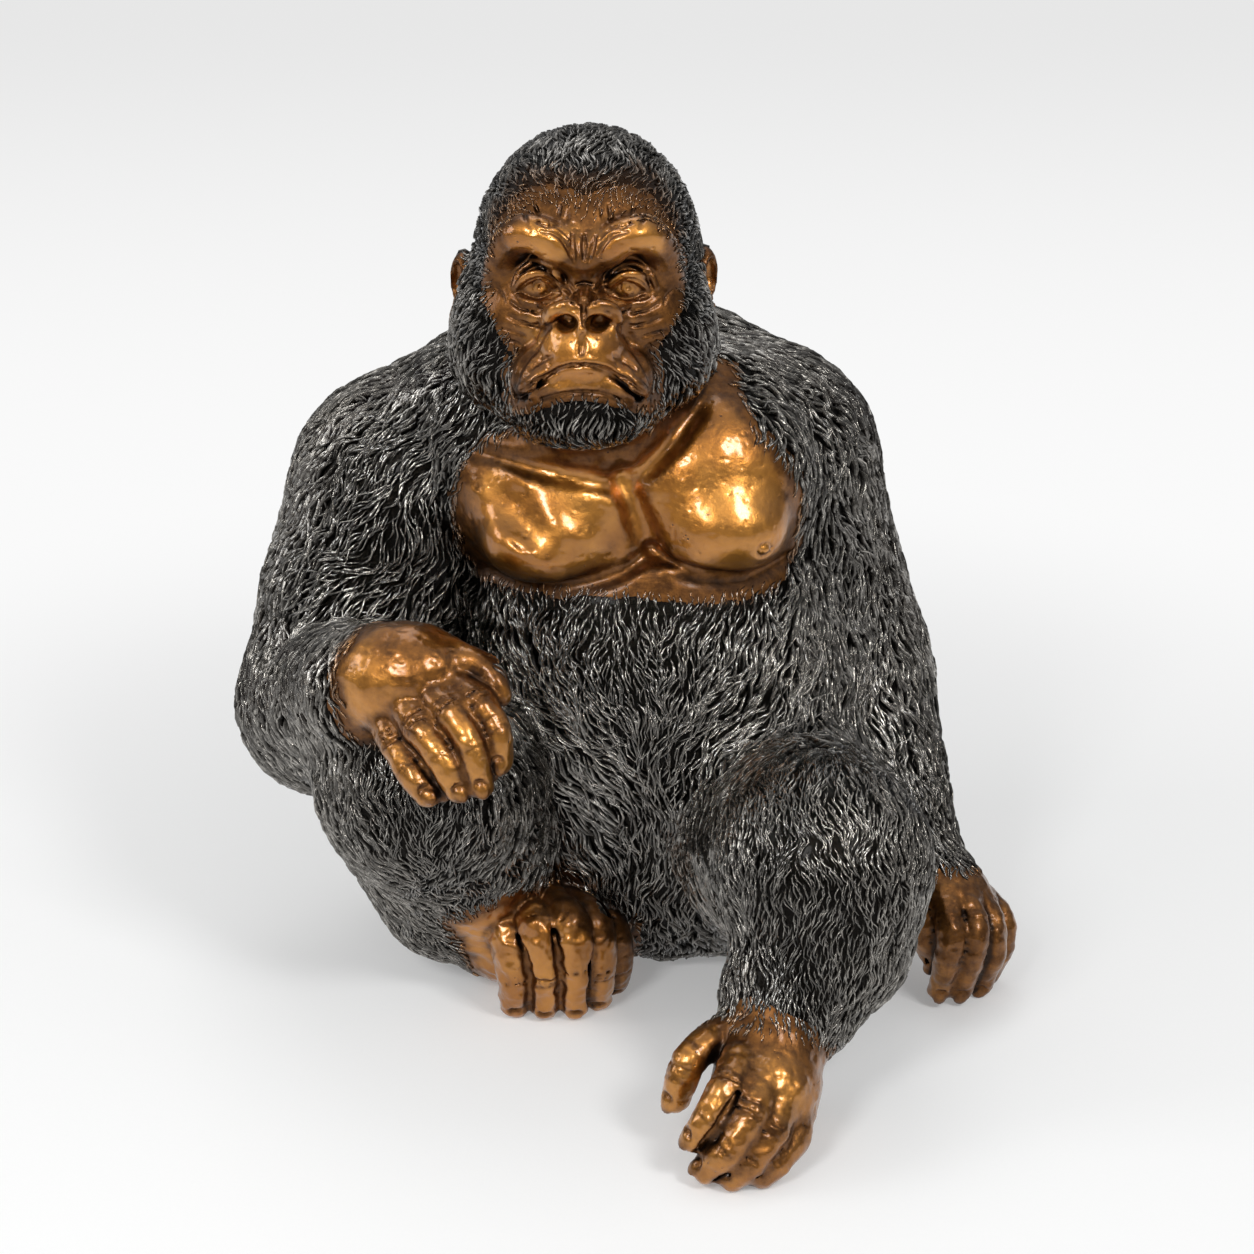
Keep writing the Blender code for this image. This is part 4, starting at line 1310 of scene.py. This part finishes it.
def fur_bronze():
    """Dark bronze with fine lines along the strands, a painted highlight on their crests shown as polished
    metal, and patina with painted shade in the gaps between them.
    """
    made, shader = material("dark_fur_bronze")
    n = Nodes(made)
    place = n.place()
    cloud = n.noise(place, 18, 4, 0.6)
    fine = n.noise(place, 420, 4, 0.62)
    warm = n.number("warm")
    hair = n.new("CombineXYZ")
    n.made_of(hair, (n.times(n.number("across"), 2.6), n.times(n.number("along"), 0.35)))
    lines = n.noise(hair.outputs[0], 1.0, 2, 0.5)
    crest = n.plus(n.number("ridge"), n.times(n.minus(lines, 0.5), 0.9))
    near_skin = n.span(warm, 0.15, 1.0)
    dark = n.mix(n.span(cloud, 0.35, 0.7), DARK_GREY, PALE_GREY)
    dark = n.mix(near_skin, dark, WARM_BRONZE)
    # Painted shade: the strands darken to the gap colour at their rims and roots
    colour = n.mix(n.span(crest, 0.30, 1.05), n.mix(warm, GAP_PATINA_SHADE_BLACK, GAP_PATINA_SHADE_BROWN), dark)
    # Painted highlight: light polished patches on the crests, in place of glints
    glint_rubbed = n.mix(near_skin, GLINT_RUBBED_GREY, GLINT_RUBBED_BRONZE)
    glint_polish = n.times(n.span(crest, 0.66, 1.05), n.span(n.noise(place, 240, 2), 0.42, 0.62))
    colour = n.mix(n.times(glint_polish, 0.9), colour, glint_rubbed)
    n.fill(
        shader,
        Base_Color=n.mix(n.span(fine, 0.50, 0.72, 0.0, 0.55), colour, GRIME),
        Metallic=1.0,
        Roughness=n.span(cloud, 0.3, 0.7, 0.16, 0.27),
        Coat_Weight=n.span(crest, 0.40, 1.0, 0.04, 1.0),
        Coat_Roughness=0.09,
        Coat_IOR=1.65,
        Normal=n.bump(n.plus(lines, n.times(fine, 0.9)), 0.0008, 0.85),
    )
    return made


def floor_paper():
    """Pale paper, lit near the figure with a quarter of glow that lightens the figure's shadow as painted
    light, and shining evenly further off.
    """
    made, shader = material("pale_floor")
    n = Nodes(made)
    place = n.place()
    paper = n.mix(n.noise(place, 900, 2), PAPER_LOW, PAPER_HIGH)
    n.fill(shader, Base_Color=paper, Roughness=0.7, Specular_IOR_Level=0.2)
    apart = n.new("SeparateXYZ")
    n.fill(apart, Vector=place)
    x, y, _ = apart.outputs
    far = n.sum("SQRT", n.plus(n.times(x, x), n.times(y, y)))
    sight = n.new("LightPath").outputs
    seen = n.sum("MAXIMUM", sight["Is Camera Ray"], sight["Is Glossy Ray"])
    seen = n.sum("MAXIMUM", seen, sight["Is Transmission Ray"])
    glow = n.new("Emission")
    level = n.span(y, -0.62, 0.0, 0.800, 0.955)
    n.fill(glow, Color=n.mix(n.span(y, 0.55, 2.3), level, HORIZON))
    # Painted light: near the figure a quarter of glow lightens its cast shadow for camera and glossy rays
    share = n.times(seen, n.span(far, 0.25, 0.66, 0.25, 1.0))
    both = n.made_of(n.new("MixShader"), (share, shader.outputs[0], glow.outputs[0]))
    output = next(node for node in made.node_tree.nodes if node.type == "OUTPUT_MATERIAL")
    n.fill(output, Surface=both)
    return made


# Studio: floor, lamps and camera

CAMERA_AT = Vector((-0.00014, -1.1093, 0.61253))
CAMERA_TILT = math.radians(22)
CAMERA_LENS = 85  # millimetres
CAMERA_SENSOR = 36
CAMERA_BACK = Vector((0.0, -math.cos(CAMERA_TILT), math.sin(CAMERA_TILT)))
FIGURE_MIDDLE = Vector((0.0, 0.0, 0.17))
FLOOR_HALF = 7.0
FLOOR_UNDER = 0.0002  # how far the paper lies under the figure
LAMPS = (  # name, place, size and power
    ("key", (0.74, -0.97, 1.23), 0.40, 9.6),
    ("front", (-0.55, -1.15, 1.05), 0.36, 8.0),
    ("side", (-1.25, -0.20, 0.80), 0.5, 3.6),
    ("top", (-0.1, 0.55, 1.45), 0.7, 2.8),
)
SKY_LOW = (0.10, 0.10, 0.102, 1)
SKY_HIGH = (0.58, 0.585, 0.59, 1)
SKY_SEEN = (0.86, 0.86, 0.86, 1)


def placed(name, data, place=(0.0, 0.0, 0.0)):
    made = bpy.data.objects.new(name, data)
    made.location = place
    bpy.context.scene.collection.objects.link(made)
    return made


def studio():
    scene = bpy.context.scene
    scene.view_settings.view_transform = "Standard"
    mesh = bpy.data.meshes.new("floor")
    half = FLOOR_HALF
    corners = [(-half, -half, 0), (half, -half, 0), (half, half, 0), (-half, half, 0)]
    mesh.from_pydata(corners, [], [(0, 1, 2, 3)])
    mesh.materials.append(floor_paper())
    floor = placed("floor", mesh, (0, 0, -FLOOR_UNDER))
    floor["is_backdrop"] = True
    world = bpy.data.worlds.new("studio")
    scene.world = world
    world.use_nodes = True
    n = Nodes(world)
    apart = n.new("SeparateXYZ")
    n.fill(apart, Vector=n.new("TexCoord").outputs["Generated"])
    sky = n.mix(n.span(apart.outputs[2], -0.05, 0.9), SKY_LOW, SKY_HIGH)
    sky = n.mix(n.new("LightPath").outputs["Is Camera Ray"], sky, SKY_SEEN)
    n.fill(world.node_tree.nodes["Background"], Color=sky, Strength=1.0)
    for name, place, size, power in LAMPS:
        light = bpy.data.lights.new(name, "AREA")
        light.size = size
        light.energy = power
        lamp = placed(name, light, place)
        lamp.rotation_euler = (FIGURE_MIDDLE - Vector(place)).to_track_quat("-Z", "Y").to_euler()
    lens = bpy.data.cameras.new("camera")
    lens.lens = CAMERA_LENS
    lens.sensor_width = CAMERA_SENSOR
    camera = placed("camera", lens, CAMERA_AT)
    camera.rotation_mode = "QUATERNION"
    camera.rotation_quaternion = CAMERA_BACK.to_track_quat("Z", "Y")
    scene.camera = camera


def dress():
    """Bare skin region by region, the body under the fur, and the fur."""
    clay = figure(GRID_LOW, GRID_HIGH, FUR_STEP)
    points = clay.skin()[0]
    middle = (points.min(0) + points.max(0)) / 2
    SHIFT[:] = (np.array(cad_low) + np.array(cad_high)) / 2 / METRES - middle
    SHIFT[2] = 0.0
    skin = skin_bronze()
    fur = fur_bronze()
    for name in REGIONS:
        region_skin(name, skin)
    body = figure(GRID_LOW, GRID_HIGH, BODY_STEP)
    under, faces = quads_of(body)
    bare = bare_at(under)
    used, faces = trimmed(under, faces, bare < -1.5)
    under, bare = under[used], bare[used]
    normals = slope_at(body, under, BODY_STEP)
    under = under - normals * (0.4 * rise(bare, -8, -4))[:, None]
    under[:, 2] = np.maximum(under[:, 2], 0.0)
    none = np.zeros(len(under))
    # Ridge 0 gives the body under the fur the gap colour: patina with painted shade between the strands
    numbers = {"warm": warmth(under, bare), "ridge": none, "across": none, "along": none}
    piece("body_under_fur", under, faces, fur, numbers)
    coat(clay, points, fur)


dress()
studio()
low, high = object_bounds()
sizes = [[[float(value) for value in corner] for corner in pair] for pair in ((cad_low, cad_high), (low, high))]
